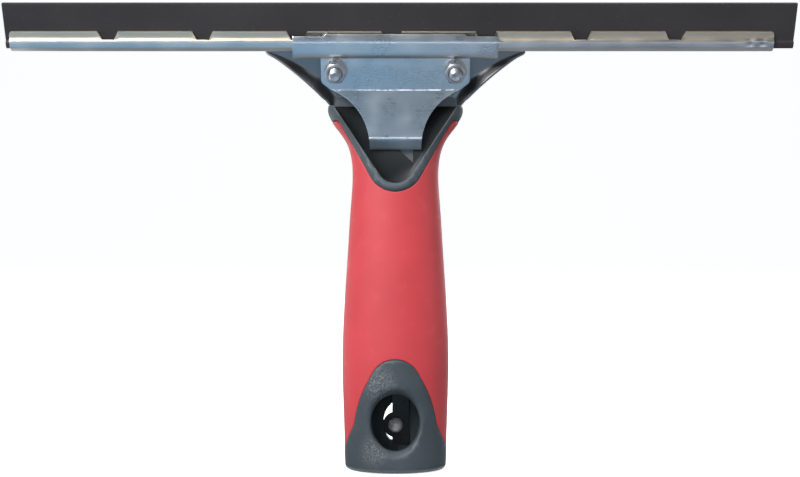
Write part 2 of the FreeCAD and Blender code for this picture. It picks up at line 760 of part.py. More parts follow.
def make_clamp_nut(side, sign):
    """Hexagon with a plain bore and chamfered corners at both faces."""
    body = new_body("clamp_nut_" + side)
    across = s.nut_flats / 2
    corner = across / cosine(Size(30, "30"))
    half_side = across * tangent(Size(30, "30"))
    hexagon = draw(
        body_sketch(body, "nut_outline", "XY_Plane"),
        (corner, 0),
        (half_side, across),
        (-half_side, across),
        (-corner, 0),
        (-half_side, -across),
        (half_side, -across),
    )
    pad(body, hexagon, s.nut_thick)
    doc.recompute()
    bevel = (corner - across) * s.nut_bevel
    for name, face, inner in (("outer", s.nut_thick, s.nut_thick - bevel), ("inner", 0, bevel)):
        corners = draw(
            body_sketch(body, f"bevel_{name}", "XZ_Plane"),
            (across, face),
            (corner + across, face),
            (corner + across, inner),
            (corner, inner),
        )
        groove = body.newObject("PartDesign::Groove", f"corners_{name}")
        groove.Profile = corners
        groove.ReferenceAxis = (corners, ["V_Axis"])
        groove.Angle = 360
        doc.recompute()
    bore = body_sketch(body, "nut_bore", "XY_Plane")
    circle = bore.addGeometry(Part.Circle(Vector(), Vector(0, 0, 1), number(s.bolt_radius)), False)
    bore.addConstraint(Sketcher.Constraint("Coincident", circle, 3, -1, 1))
    radius = bore.addConstraint(Sketcher.Constraint("Radius", circle, number(s.bolt_radius)))
    bore.setExpression(f"Constraints[{radius}]", formula(s.bolt_radius + s.thread_play))
    hole = body.newObject("PartDesign::Pocket", "thread")
    hole.Profile = bore
    hole.Midplane = True
    bind(hole, Length=s.nut_thick * 3)
    face = s.jaw_gap / 2 + s.sheet + s.washer_thick + s.bearing_gap * 2
    place_in_head(body, s.bolt_spacing / 2 * sign, face, s.bolt_height, 90)


def shank_rivet_tools(name, radius, half_length):
    """Round bars from front to back at the two shank rivets."""
    tools = []
    for level, height in (("low", s.shank_rivet_low), ("high", s.shank_rivet_high)):
        base = (0, half_length, height)
        tools.append(cylinder(f"{name}_{level}", radius, half_length * 2, base, Vector(1, 0, 0), 90))
    return tools


def make_shank_rivets():
    """Two rivets through the handle core and the shank, with their heads under the grip."""
    pins = shank_rivet_tools("shank_rivet", s.shank_rivet_radius, s.shank_rivet_half_length)
    heads = []
    for level, height in (("low", s.shank_rivet_low), ("high", s.shank_rivet_high)):
        for end, y in (("back", s.shank_rivet_half_length), ("front", -s.shank_rivet_half_length)):
            start = y if end == "back" else y + s.shank_rivet_head_thick
            base = (0, start, height)
            name = f"shank_rivet_head_{level}_{end}"
            thick = s.shank_rivet_head_thick
            heads.append(cylinder(name, s.shank_rivet_head, thick, base, Vector(1, 0, 0), 90))
    finished(fuse("shank_rivet_group", *pins, *heads), "shank_rivets")


# ---------------------------------------------------------------- handle


def handle_form(name, inset=0):
    """The handle's outside, or the same form set in by a wall, lofted through its sections."""
    sections = []
    for station, *_ in STATIONS:
        ring = doc.addObject("Part::Ellipse", f"{name}_{station}")
        half_width = getattr(s, station + "_half_width") - inset
        half_depth = getattr(s, station + "_half_depth") - inset
        bind(ring, MajorRadius=half_width, MinorRadius=half_depth)
        place(ring, (0, 0, getattr(s, station + "_height")), Vector(0, 0, 1))
        sections.append(ring)
    loft = doc.addObject("Part::Loft", name)
    loft.Sections = sections
    loft.Solid = True
    return loft


def rounded_v(name, bottom, radius, lean, *upper):
    """A V with a round bottom and straight flanks, continued by the corners in upper."""
    reach_x = radius * cosine(lean)
    reach_z = bottom + radius - radius * sine(lean)
    right = [(reach_x, reach_z)] + [(upper[0][0], upper[0][1])] + list(upper[1:])
    corners = mirrored(*right)
    corners[0] = corners[0] + (radius,)
    return draw(free_sketch(name, UPRIGHT_FRONT), *corners)


def flank_spot(bottom, radius, lean, height):
    """Half width of a rounded V at a height on its flank."""
    return radius * cosine(lean) + (height - bottom - radius + radius * sine(lean)) * tangent(lean)


def panel_tool(name):
    """Arch-topped outline of a bare panel: crown arc, two long flank arcs and a flared foot."""
    crown = s.panel_crown_radius
    knee_x = s.panel_knee_half
    knee_z = s.panel_top - s.panel_knee_drop
    outline = draw(
        free_sketch(name, UPRIGHT_FRONT),
        (-knee_x, knee_z, s.panel_flank_radius * -1),
        (0, s.panel_top, -crown),
        (knee_x, knee_z, -crown),
        (s.panel_half, s.panel_waist_height, -s.panel_flank_radius),
        (s.panel_flare_half, s.panel_flare_height),
        (s.panel_flare_half, -s.foot_round),
        (-s.panel_flare_half, -s.foot_round),
        (-s.panel_flare_half, s.panel_flare_height),
        (-s.panel_half, s.panel_waist_height),
    )
    return extrude(name + "_prism", outline, s.belly_half_width * 2, both_ways=True)


def make_handle():
    outside = handle_form("outside")
    doc.recompute()
    rounded = doc.addObject("Part::Fillet", "foot_rounding")
    rounded.Base = outside
    foot_edges = [
        i
        for i, edge in enumerate(outside.Shape.Edges, start=1)
        if edge.BoundBox.ZMax < number(s.foot_round) / 2
    ]
    rounded.Edges = [(i, number(s.foot_round), number(s.foot_round)) for i in foot_edges]
    inside = handle_form("under_grip", s.grip_wall)

    # Everything that the grip leaves bare: foot panels, the V at the front, the rim all round.
    top = s.rim_height + s.foot_round
    wide = s.rim_half_width + s.foot_round
    flank = flank_spot(s.grip_v_height, s.grip_v_radius, s.grip_v_lean, s.grip_top_height)
    v_upper = [(flank, s.grip_top_height), (wide, s.grip_top_height), (wide, top)]
    v_outline = rounded_v("grip_v", s.grip_v_height, s.grip_v_radius, s.grip_v_lean, *v_upper)
    bare_v = extrude("bare_v", v_outline, s.rim_half_width)
    bare_rim = box("bare_rim", (-wide, -wide, s.grip_top_height), (wide, wide, top))
    bare_back = box("bare_back", (-wide, s.grip_wall * 2, s.grip_back_height), (wide, wide, top))
    bare = [panel_tool("panel"), bare_v, bare_rim, bare_back]
    sleeve = cut("grip_cut", rounded, inside, *bare)
    finished(sleeve, "grip_sleeve")

    under = shank_rivet_tools("core_rivet_hole", s.shank_rivet_radius, s.shank_rivet_half_length)
    relief = s.relief_high - s.relief_low
    bores = [
        cylinder("socket", s.bore_radius, s.bore_deep, (0, 0, 0), Vector(0, 0, 1)),
        cylinder("relief", s.relief_radius, relief, (0, 0, s.relief_low), Vector(0, 0, 1)),
        cylinder("light_bore", s.core_bore_radius, s.core_bore_top, (0, 0, 0), Vector(0, 0, 1)),
    ]
    core = cut("core_cut", rounded, sleeve, *bores, *mouth_tools(), *lock_tools(), *under, *head_seats())
    finished(core, "handle_core")


def mouth_tools():
    """The V-shaped mouth in front of the shank, the shank's slot and the sight opening."""
    top = s.rim_height + s.foot_round
    flank = flank_spot(s.mouth_height, s.mouth_radius, s.mouth_lean, top)
    outline = rounded_v("mouth_v", s.mouth_height, s.mouth_radius, s.mouth_lean, (flank, top))
    place(outline, (0, s.mouth_floor, 0), Vector(1, 0, 0), 90)
    mouth = extrude("mouth", outline, s.rim_half_width)
    play = s.shank_play
    slot_outline = draw(
        free_sketch("slot_outline", UPRIGHT_FRONT),
        *mirrored(
            (s.shank_end_half + play, s.shank_end_height - play),
            (s.shank_neck_half + play, s.shank_neck_height - play),
            (s.shank_top_half + play, s.rim_height - play),
            (s.shank_top_half + play, top),
        ),
    )
    place(slot_outline, (0, s.shank_front + s.sheet + play, 0), Vector(1, 0, 0), 90)
    slot = extrude("shank_slot", slot_outline, s.sheet + play * 2)
    sight_outline = draw(
        free_sketch("sight_outline", UPRIGHT_FRONT),
        (s.sight_left, s.sight_top),
        (s.sight_right, s.sight_bottom),
        (s.sight_right, s.sight_top),
    )
    place(sight_outline, (0, s.shank_front, 0), Vector(1, 0, 0), 90)
    sight = extrude("sight", sight_outline, s.shank_front - s.mouth_floor + s.sheet)
    return [mouth, slot, sight]


def oval(name, wide, tall, y, height):
    """An upright oval wire facing the front."""
    ring = doc.addObject("Part::Ellipse", name)
    bind(ring, MajorRadius=tall / 2, MinorRadius=wide / 2)
    ring.Placement = Placement(Vector(), Rotation(Vector(0, 0, 1), Vector(1, 0, 0), Vector(0, 1, 0), "XYZ"))
    bind(ring, Placement__Base__y=y, Placement__Base__z=height)
    return ring


def oval_loft(name, *rings):
    loft = doc.addObject("Part::Loft", name)
    loft.Sections = list(rings)
    loft.Solid = True
    loft.Ruled = True
    return loft


def lock_tools():
    """Front window with its dished rim, back port, and the leaf's recess in the socket's wall."""
    wide, tall, height = s.window_wide, s.window_tall, s.window_height
    window = oval_loft(
        "window",
        oval("window_front", wide, tall, s.dish_outer, height),
        oval("window_back", wide, tall, Size(0, "0"), height),
    )
    dish = oval_loft(
        "dish",
        oval("dish_front", wide + s.dish_margin * 2, tall + s.dish_margin * 2, s.dish_outer, height),
        oval("dish_back", wide, tall, s.dish_inner, height),
    )
    port = oval_loft(
        "port",
        oval("port_front", s.port_wide, s.port_tall, s.bore_radius / 2, s.port_height),
        oval("port_back", s.port_wide, s.port_tall, -s.dish_outer, s.port_height),
    )
    margin = s.recess_margin
    left = s.leaf_left - margin
    right = s.leaf_left + s.leaf_wide + margin
    low, high = s.leaf_bottom - margin, s.leaf_top + margin
    inner = s.bore_radius / 2
    shallow = box("recess_fixed_end", (left, inner, low), (right, s.recess_shallow, high))
    free = box("recess_free_end", (left, inner, low), (right, s.recess_free, s.recess_step))
    return [window, dish, port, shallow, free] + leaf_rivet_parts("rivet_hole")


def leaf_rivet_parts(name):
    """Shaft and outer head of each leaf rivet, as a piece or as the hole for it."""
    parts = []
    centre = s.leaf_left + s.leaf_wide / 2
    start = s.leaf_front - s.leaf_rivet_inner_thick
    for level, height in (("low", s.leaf_rivet_low), ("high", s.leaf_rivet_high)):
        seat = s.leaf_rivet_seat + s.leaf_rivet_outer_thick
        shaft_base = (centre, seat, height)
        head = s.leaf_rivet_outer_thick
        turn = (Vector(1, 0, 0), 90)
        parts.append(cylinder(f"{name}_{level}", s.leaf_rivet_radius, seat - start, shaft_base, *turn))
        parts.append(cylinder(f"{name}_{level}_head", s.leaf_rivet_head, head, shaft_base, *turn))
    return parts


def head_seats():
    """Counterbores for the shank rivets' heads."""
    seats = []
    length = s.grip_wall + s.shank_rivet_head_thick * 2
    for level, height in (("low", s.shank_rivet_low), ("high", s.shank_rivet_high)):
        for end, y in (("back", s.shank_rivet_half_length), ("front", -s.shank_rivet_half_length)):
            start = y + length - s.shank_rivet_head_thick if end == "back" else y + s.shank_rivet_head_thick
            base = (0, start, height)
            name = f"head_seat_{level}_{end}"
            seats.append(cylinder(name, s.shank_rivet_head, length, base, Vector(1, 0, 0), 90))
    return seats


# ---------------------------------------------------------------- pole lock


def make_lock_spring():
    """A steel leaf with a round eye beside it for the ball, and two rivet holes at its upper end."""
    eye = cylinder(
        "leaf_eye",
        s.eye_radius,
        s.leaf_thick,
        (0, s.leaf_front + s.leaf_thick, s.ball_height),
        Vector(1, 0, 0),
        90,
    )
    strip = box(
        "leaf_strip",
        (s.leaf_left, s.leaf_front, s.leaf_bottom),
        (s.leaf_left + s.leaf_wide, s.leaf_front + s.leaf_thick, s.leaf_top),
    )
    turn = (Vector(1, 0, 0), 90)
    behind = s.leaf_front + s.leaf_thick * 2
    centre = s.leaf_left + s.leaf_wide / 2
    holes = [
        cylinder(
            "stud_hole",
            s.stud_radius + s.lock_play,
            s.leaf_thick * 3,
            (0, behind, s.ball_height),
            *turn,
        )
    ]
    for level, height in (("low", s.leaf_rivet_low), ("high", s.leaf_rivet_high)):
        name = "leaf_hole_" + level
        holes.append(cylinder(name, s.leaf_rivet_radius, s.leaf_thick * 3, (centre, behind, height), *turn))
    finished(cut("leaf", fuse("leaf_blank", eye, strip), *holes), "lock_spring")


def make_spring_rivets():
    """Rivets that hold the leaf's upper end against the socket's wall."""
    centre = s.leaf_left + s.leaf_wide / 2
    heads = []
    for level, height in (("low", s.leaf_rivet_low), ("high", s.leaf_rivet_high)):
        name = "leaf_rivet_inner_" + level
        base = (centre, s.leaf_front, height)
        thick = s.leaf_rivet_inner_thick
        heads.append(cylinder(name, s.leaf_rivet_head, thick, base, Vector(1, 0, 0), 90))
    parts = leaf_rivet_parts("leaf_rivet") + heads
    finished(fuse("leaf_rivet_group", *parts), "spring_rivets")


def make_lock_ball():
    """Ball-ended stud through the leaf's eye: its tip stands into the pole socket."""
    body = new_body("lock_ball")
    radius = s.ball_radius
    tip = s.bore_radius - s.ball_proud
    shoulder = s.leaf_front - s.lock_play
    back = s.leaf_front + s.leaf_thick + s.lock_play
    end = back + s.stud_head_thick
    section = draw(
        body_sketch(body, "ball_section", "XZ_Plane"),
        (0, -tip),
        (0, -end),
        (s.stud_head_radius, -end),
        (s.stud_head_radius, -back),
        (s.stud_radius, -back),
        (s.stud_radius, -shoulder),
        (radius, -shoulder),
        (radius, -tip - radius),
        closed=False,
    )
    last = section.GeometryCount - 1
    equator = Vector(number(radius), -number(tip + radius), 0)
    dome = arc_between(equator, Vector(0, -number(tip), 0), number(radius))
    arc = section.addGeometry(dome, False)
    section.addConstraint(Sketcher.Constraint("Coincident", last, 2, arc, 1))
    section.addConstraint(Sketcher.Constraint("Coincident", arc, 2, 0, 1))
    size = section.addConstraint(Sketcher.Constraint("Radius", arc, number(radius)))
    section.setExpression(f"Constraints[{size}]", formula(radius))
    revolve(body, section)
    place(body, (0, 0, s.ball_height), Vector(1, 0, 0), 90)


# ---------------------------------------------------------------- assembly and export


def build():
    make_rubber_blade()
    make_channel()
    make_front_jaw()
    make_rear_jaw()
    for side, sign in (("left", -1), ("right", 1)):
        make_clamp_bolt(side, sign)
        make_lock_washer(side, sign)
        make_clamp_nut(side, sign)
    make_handle()
    make_shank_rivets()
    make_lock_spring()
    make_spring_rivets()
    make_lock_ball()
    doc.recompute()


def check_and_export():
    for obj in doc.Objects:
        if "Invalid" in obj.State or "Error" in obj.State:
            raise RuntimeError(f"{obj.Name} failed: {obj.State}")
    for node in NODES:
        shape = node.Shape
        if shape.isNull() or not shape.isValid() or not shape.Solids:
            raise RuntimeError(f"{node.Label} has no valid solid")
    os.makedirs("parts", exist_ok=True)
    for node in NODES:
        node.Shape.exportStep(f"parts/{node.Label}.step")
        box_of = node.Shape.BoundBox
        print(
            f"{node.Label:20s} solids {len(node.Shape.Solids)} volume {node.Shape.Volume:9.1f}"
            f"  x {box_of.XMin:7.1f} {box_of.XMax:7.1f}  y {box_of.YMin:6.1f} {box_of.YMax:6.1f}"
            f"  z {box_of.ZMin:6.1f} {box_of.ZMax:6.1f}"
        )


build()
check_and_export()
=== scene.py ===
"""Window cleaning squeegee: the visible surfaces of a clamp-head squeegee, built round its CAD frame.

Lengths in the formulas are millimetres: X along the blade, Z up the handle, -Y towards the front.
The head leans towards the front and has two directions of its own: outward, square to the clamp
plates, and up, along the blade.
"""

import json
import math

import bmesh
import bpy
import numpy as np
from bpy.props import FloatProperty, FloatVectorProperty, IntProperty, PointerProperty
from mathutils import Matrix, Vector


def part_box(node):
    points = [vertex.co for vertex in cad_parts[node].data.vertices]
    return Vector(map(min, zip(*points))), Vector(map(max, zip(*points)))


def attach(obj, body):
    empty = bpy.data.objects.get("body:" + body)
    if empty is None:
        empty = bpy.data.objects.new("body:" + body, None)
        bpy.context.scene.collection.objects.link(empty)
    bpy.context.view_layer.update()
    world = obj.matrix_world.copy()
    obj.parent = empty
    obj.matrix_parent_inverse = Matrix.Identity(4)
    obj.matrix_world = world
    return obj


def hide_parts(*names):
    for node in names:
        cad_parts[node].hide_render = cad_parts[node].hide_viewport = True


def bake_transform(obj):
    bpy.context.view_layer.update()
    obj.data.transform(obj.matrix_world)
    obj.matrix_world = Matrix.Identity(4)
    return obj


bl_info = {
    "name": "Window Squeegee",
    "version": (1, 0, 0),
    "blender": (4, 5, 0),
    "location": "View3D > Sidebar > Squeegee",
    "description": "Builds the surfaces and finishes of a window cleaning squeegee",
    "category": "Object",
}

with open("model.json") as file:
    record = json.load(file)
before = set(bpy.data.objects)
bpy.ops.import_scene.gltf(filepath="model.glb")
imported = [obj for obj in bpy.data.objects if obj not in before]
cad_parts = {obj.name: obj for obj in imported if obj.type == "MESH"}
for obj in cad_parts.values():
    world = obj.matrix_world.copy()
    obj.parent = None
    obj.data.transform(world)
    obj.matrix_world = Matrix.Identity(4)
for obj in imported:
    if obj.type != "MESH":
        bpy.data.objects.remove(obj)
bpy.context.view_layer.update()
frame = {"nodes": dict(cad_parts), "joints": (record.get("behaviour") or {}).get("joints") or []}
MM = 0.001


def cad_box(node):
    """Lowest and highest corner of a CAD node in millimetres."""
    return [np.array(corner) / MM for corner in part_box(node)]


CHANNEL_LOW, CHANNEL_HIGH = cad_box("blade_channel")
RUBBER_LOW, RUBBER_HIGH = cad_box("rubber_blade")
HEAD_OUTWARD = next(joint["axis"] for joint in frame["joints"] if joint["name"] == "washer_left_slide")
LEAN = math.atan2(-HEAD_OUTWARD[2], -HEAD_OUTWARD[1])

# The head frame's origin, and in it the inner faces of the plates, hooks and hook lips, the hooks' top
# and end, the bolts' axes, the rear face of the clamp and the channel's lips.
HEAD_Y, HEAD_Z = -1.1, 155.15
PLATE_GAP, HOOK_GAP, LIP_GAP = 2, 3.6, 2.5
HOOK_TOP, HOOK_END = 20.3, 22.9
BOLT_UP, CLAMP_BACK = 8.4, -3.2
CHANNEL_TOP = 24.05

# The handle: the collar's rim, the shank's plane, the ball's height, and the elliptical sections as
# height, half width, half depth.
RIM, SHANK_Y, BALL_Z = 147.6, 2.6, 15.9
SECTIONS = np.array([
    (0, 20.4, 15.4), (14, 20.8, 15.5), (28, 21.25, 15.6), (44, 21.6, 15.6), (60, 21.15, 15.3),
    (76, 20.2, 14.6), (92, 19.15, 13.7), (106, 18.25, 13.0), (117, 17.5, 12.4), (126, 17.95, 12.0),
    (134.5, 21.1, 11.8), (142.5, 26.6, 11.7), (147.6, 27.4, 11.7),
])


# ---------------- sizes and colours


def length(name, description, default):
    return FloatProperty(name=name, description=description, default=default * MM, unit="LENGTH", precision=5)


def colour(name, description, default):
    return FloatVectorProperty(name=name, description=description, default=default, size=3, subtype="COLOR",
                               min=0, max=1)


def share(name, description, default):
    return FloatProperty(name=name, description=description, default=default, min=0, max=1, subtype="FACTOR")


class SqueegeeBlade(bpy.types.PropertyGroup):
    channel_sheet: length("Channel sheet", "Sheet thickness of the folded channel", 0.8)
    bulge_wide: length("Bulge width", "Outside width of the channel round the bead", 6.8)
    lip_wide: length("Lip width", "Outside width of the channel at its lips", 4.6)
    notch_pitch: length("Notch pitch", "Spacing of the notches in the front lip", 37.7)
    notch_deep: length("Notch depth", "Depth of a notch, along the folded sheet", 3.35)
    notch_count: IntProperty(name="Notches", description="Notches along the front lip", default=7, min=1,
                             subtype="UNSIGNED")
    crimp_deep: length("Crimp depth", "Depth of the two crimps that hold the rubber at one end", 0.75)
    web_wide: length("Rubber web", "Rubber thickness between the lips", 2.8)
    edge_wide: length("Rubber edge", "Rubber thickness at the wiping edge", 1.9)


class SqueegeeJaws(bpy.types.PropertyGroup):
    sheet: length("Jaw sheet", "Sheet thickness of both jaws", 1.2)
    bend: length("Bend radius", "Radius of the folds, at the sheet's inner face", 1.4)
    hook_roll: length("Hook roll", "Radius of the hook's rounded back", 3.0)
    tongue_half: length("Tongue half width", "Half width of the front jaw's tongue", 10.55)
    plate_half: length("Plate half width", "Half width of the front jaw's plate", 30)
    hook_half: length("Hook half width", "Half length of both hooks", 41)
    crown_half: length("Crown half width", "Half length of the front hook's raised middle", 27.7)
    hook_step: length("Crown step", "How far the front hook's middle stands above its ends", 0.9)
    wing_arc: length("Wing arc", "Radius of the rear jaw's hollow side edges", 52)
    flange_arc: length("Flange arc", "Radius of the flanges' front edges, seen from the front", 136)


class SqueegeeFasteners(bpy.types.PropertyGroup):
    bolt_radius: length("Bolt radius", "Outside radius of the thread", 2.5)
    pitch: length("Thread pitch", "Pitch of the thread", 0.8)
    thread_deep: length("Thread depth", "Depth of the thread", 0.42)
    head_radius: length("Head radius", "Radius of the round bolt heads", 5.2)
    flats: length("Across flats", "Width of the nuts across their flats", 8)
    washer_radius: length("Washer radius", "Outside radius of the split washers", 4.6)
    washer_thick: length("Washer thickness", "Thickness of the split washers", 1.2)


class SqueegeeHandle(bpy.types.PropertyGroup):
    grip_wall: length("Grip wall", "Thickness of the soft grip", 1.8)
    grip_round: length("Grip edge", "Rounding of the soft grip's edges", 0.55)
    panel_top: length("Panel top", "Top of the bare panels at the foot", 45.4)
    v_height: length("V height", "Bottom of the grip's V", 112.4)


class SqueegeeFinishes(bpy.types.PropertyGroup):
    grip: colour("Grip", "Soft grip rubber", (0.60, 0.055, 0.066))
    core: colour("Core", "Moulded handle plastic", (0.052, 0.068, 0.078))
    rubber: colour("Blade rubber", "Wiping rubber", (0.034, 0.030, 0.031))
    jaw: colour("Jaw plating", "Bright zinc plating of the jaws", (0.66, 0.68, 0.70))
    channel: colour("Channel steel", "Stainless strip of the channel", (0.70, 0.69, 0.67))
    fastener: colour("Fasteners", "Plated bolts, nuts and washers", (0.44, 0.44, 0.45))
    spring: colour("Spring", "Blackened spring steel", (0.07, 0.07, 0.07))
    ball: colour("Ball", "Polished lock ball", (0.85, 0.85, 0.86))
    wear: share("Wear", "How scuffed the metal is", 0.45)


# ---------------- curves


def head_yz(outward, up):
    """Y and Z of points given in the head frame."""
    return joined(HEAD_Y - math.cos(LEAN) * outward - math.sin(LEAN) * up,
                  HEAD_Z - math.sin(LEAN) * outward + math.cos(LEAN) * up)


def smooth(t):
    """3t^2 - 2t^3 between 0 and 1."""
    t = np.clip(t, 0, 1)
    return t * t * (3 - 2 * t)


def hill(value, centre, width):
    """exp(-((value - centre) / width)^2)."""
    return np.exp(-(((value - centre) / width) ** 2))


def spline(knots, values, spots):
    """Natural cubic spline: cubics whose slopes and bends agree at every knot."""
    gap = np.diff(knots)
    slope = np.diff(values) / gap
    inner = np.arange(1, len(knots) - 1)
    system = np.eye(len(knots))
    system[inner, inner - 1] = gap[:-1]
    system[inner, inner] = 2 * (gap[:-1] + gap[1:])
    system[inner, inner + 1] = gap[1:]
    change = np.zeros(len(knots))
    change[inner] = 6 * np.diff(slope)
    bend = np.linalg.solve(system, change)
    i = np.clip(np.searchsorted(knots, spots) - 1, 0, len(knots) - 2)
    t = spots - knots[i]
    first = slope[i] - gap[i] * (2 * bend[i] + bend[i + 1]) / 6
    return values[i] + t * first + t**2 * bend[i] / 2 + t**3 * (bend[i + 1] - bend[i]) / (6 * gap[i])


class Line:
    """A flat line whose corners are rounded by tangent arcs, read by the distance along it; the radius
    is one number or one for each inner corner."""

    def __init__(self, corners, radius, parts=7):
        corners = np.asarray(corners, float)
        ahead = np.diff(corners, axis=0)
        reach = np.linalg.norm(ahead, axis=1)
        ahead = ahead / reach[:, None]
        runs = [corners[:1]]
        radii = np.broadcast_to(radius, len(corners) - 2)
        legs = zip(ahead, ahead[1:], reach, reach[1:], corners[1:-1], radii)
        for before, after, near, far, corner, radius in legs:
            turn = math.atan2(before[0] * after[1] - before[1] * after[0], before @ after)
            half = math.tan(abs(turn) / 2)
            back = min(radius * half, near * 0.45, far * 0.45)
            side = math.copysign(1, turn)
            spoke = np.array([before[1], -before[0]]) * side
            centre = corner - before * back - spoke * back / half
            angle = np.linspace(0, turn, parts + 1)[:, None]
            across = np.array([-spoke[1], spoke[0]])
            runs.append(centre + back / half * (np.cos(angle) * spoke + np.sin(angle) * across))
        runs.append(corners[-1:])
        self.points = np.concatenate(runs)
        self.spots = np.concatenate([[0], np.cumsum(np.linalg.norm(np.diff(self.points, axis=0), axis=1))])
        along = np.gradient(self.points, self.spots, axis=0)
        along /= np.linalg.norm(along, axis=1)[:, None]
        self.left = np.stack([-along[:, 1], along[:, 0]], axis=1)
        self.length = self.spots[-1]

    def at(self, spots, offset=0.0):
        """Points at distances along the line, moved to its left by the offset."""
        def read(rows):
            return np.stack([np.interp(spots, self.spots, rows[:, k]) for k in (0, 1)], axis=-1)
        left = read(self.left)
        left /= np.linalg.norm(left, axis=-1)[..., None]
        return read(self.points) + np.asarray(offset)[..., None] * left

    def rows(self, step):
        """Distances along the line: every corner point, and even steps on the straight runs."""
        gaps = np.maximum(np.ceil(np.diff(self.spots) / step).astype(int), 1)
        runs = [np.linspace(a, b, n, endpoint=False) for a, b, n in zip(self.spots, self.spots[1:], gaps)]
        return np.concatenate(runs + [self.spots[-1:]])


def arc_half(low, high, radius):
    """Half width as a function of height on a hollow arc from low to high, both (half width, height):
    x = cx - sqrt(R^2 - (z - cz)^2), with the centre on the outer side."""
    low, high = np.asarray(low, float), np.asarray(high, float)
    chord = high - low
    span = np.linalg.norm(chord)
    outer = np.array([chord[1], -chord[0]]) / span
    centre = (low + high) / 2 + outer * math.sqrt(radius**2 - span**2 / 4)
    return lambda z: centre[0] - np.sqrt(np.maximum(radius**2 - (z - centre[1]) ** 2, 0))


def fractions(count):
    return np.linspace(0, 1, count)


def circle(count):
    """Angles all the way round, the first one not repeated."""
    return np.linspace(0, 2 * math.pi, count, endpoint=False)


def joined(*parts):
    """Coordinates as one array of points."""
    return np.stack(np.broadcast_arrays(*parts), axis=-1)


def wide(x, flat):
    """X values and (y, z) points as one array of (x, y, z)."""
    return joined(x, flat[..., 0], flat[..., 1])


def both_sides(half):
    """A line of (outward, up) corners, then its mirror image back down."""
    return half + [(-n, u) for n, u in reversed(half)]


# ---------------- meshes


def linked(name, data):
    made = bpy.data.objects.new(name, data)
    bpy.context.scene.collection.objects.link(made)
    return made


def welded(name, mesh, sharp, reach):
    """Welds points within reach, turns the faces outwards, smooths edges up to the sharp angle in degrees
    and links the object."""
    work = bmesh.new()
    work.from_mesh(mesh)
    bmesh.ops.remove_doubles(work, verts=work.verts, dist=reach)
    bmesh.ops.dissolve_degenerate(work, edges=work.edges, dist=1e-7)
    bmesh.ops.recalc_face_normals(work, faces=work.faces)
    work.to_mesh(mesh)
    work.free()
    mesh.shade_smooth()
    mesh.set_sharp_from_angle(angle=math.radians(sharp))
    return linked(name, mesh)


class Shell:
    """Grids of points that are welded into one mesh."""

    def __init__(self):
        self.points = []
        self.faces = []
        self.count = 0

    def grid(self, points, around=False, ring=False):
        """A grid of quads; around joins its last column to the first, ring its last row to the first."""
        rows, columns = points.shape[:2]
        index = self.count + np.arange(rows * columns).reshape(rows, columns)
        if around:
            index = np.concatenate([index, index[:, :1]], axis=1)
        if ring:
            index = np.concatenate([index, index[:1]], axis=0)
        quads = [index[:-1, :-1], index[:-1, 1:], index[1:, 1:], index[1:, :-1]]
        self.points.append(points.reshape(-1, 3))
        self.faces.extend(np.stack(quads, axis=-1).reshape(-1, 4).tolist())
        self.count += rows * columns
        return self

    def piece(self, name, sharp=35):
        mesh = bpy.data.meshes.new(name)
        mesh.from_pydata(np.concatenate(self.points) * MM, [], self.faces)
        return welded(name, mesh, sharp, 2e-6)


def sheet_walls(made, thickness, edge):
    """Gives a sheet its thickness, half to each side, and rounds its cut edges."""
    wall = made.modifiers.new("sheet", "SOLIDIFY")
    wall.thickness = thickness
    wall.offset = 0
    wall.use_even_offset = True
    soft = made.modifiers.new("cut_edges", "BEVEL")
    soft.width = edge * MM
    soft.segments = 2
    soft.limit_method = "ANGLE"
    soft.angle_limit = math.radians(55)
    return made


def hand_over(made, body, slot, material, *nodes):
    """Finishes a piece: its material, its CAD body and the CAD nodes it stands for; the slot is not used."""
    made.data.materials.clear()
    made.data.materials.append(material)
    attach(made, body)
    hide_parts(*nodes)
    return made


# ---------------- finishes


class Wire:
    """A socket in an expression: each operator adds a Math node."""

    def __init__(self, paint, socket):
        self.paint = paint
        self.socket = socket

    def math(self, operation, *values):
        return self.paint.node("Math", {"operation": operation}, dict(enumerate(values)))

    def __add__(self, other):
        return self.math("ADD", self, other)

    def __radd__(self, other):
        return self.math("ADD", other, self)

    def __sub__(self, other):
        return self.math("SUBTRACT", self, other)

    def __rsub__(self, other):
        return self.math("SUBTRACT", other, self)

    def __mul__(self, other):
        return self.math("MULTIPLY", self, other)

    def __rmul__(self, other):
        return self.math("MULTIPLY", other, self)


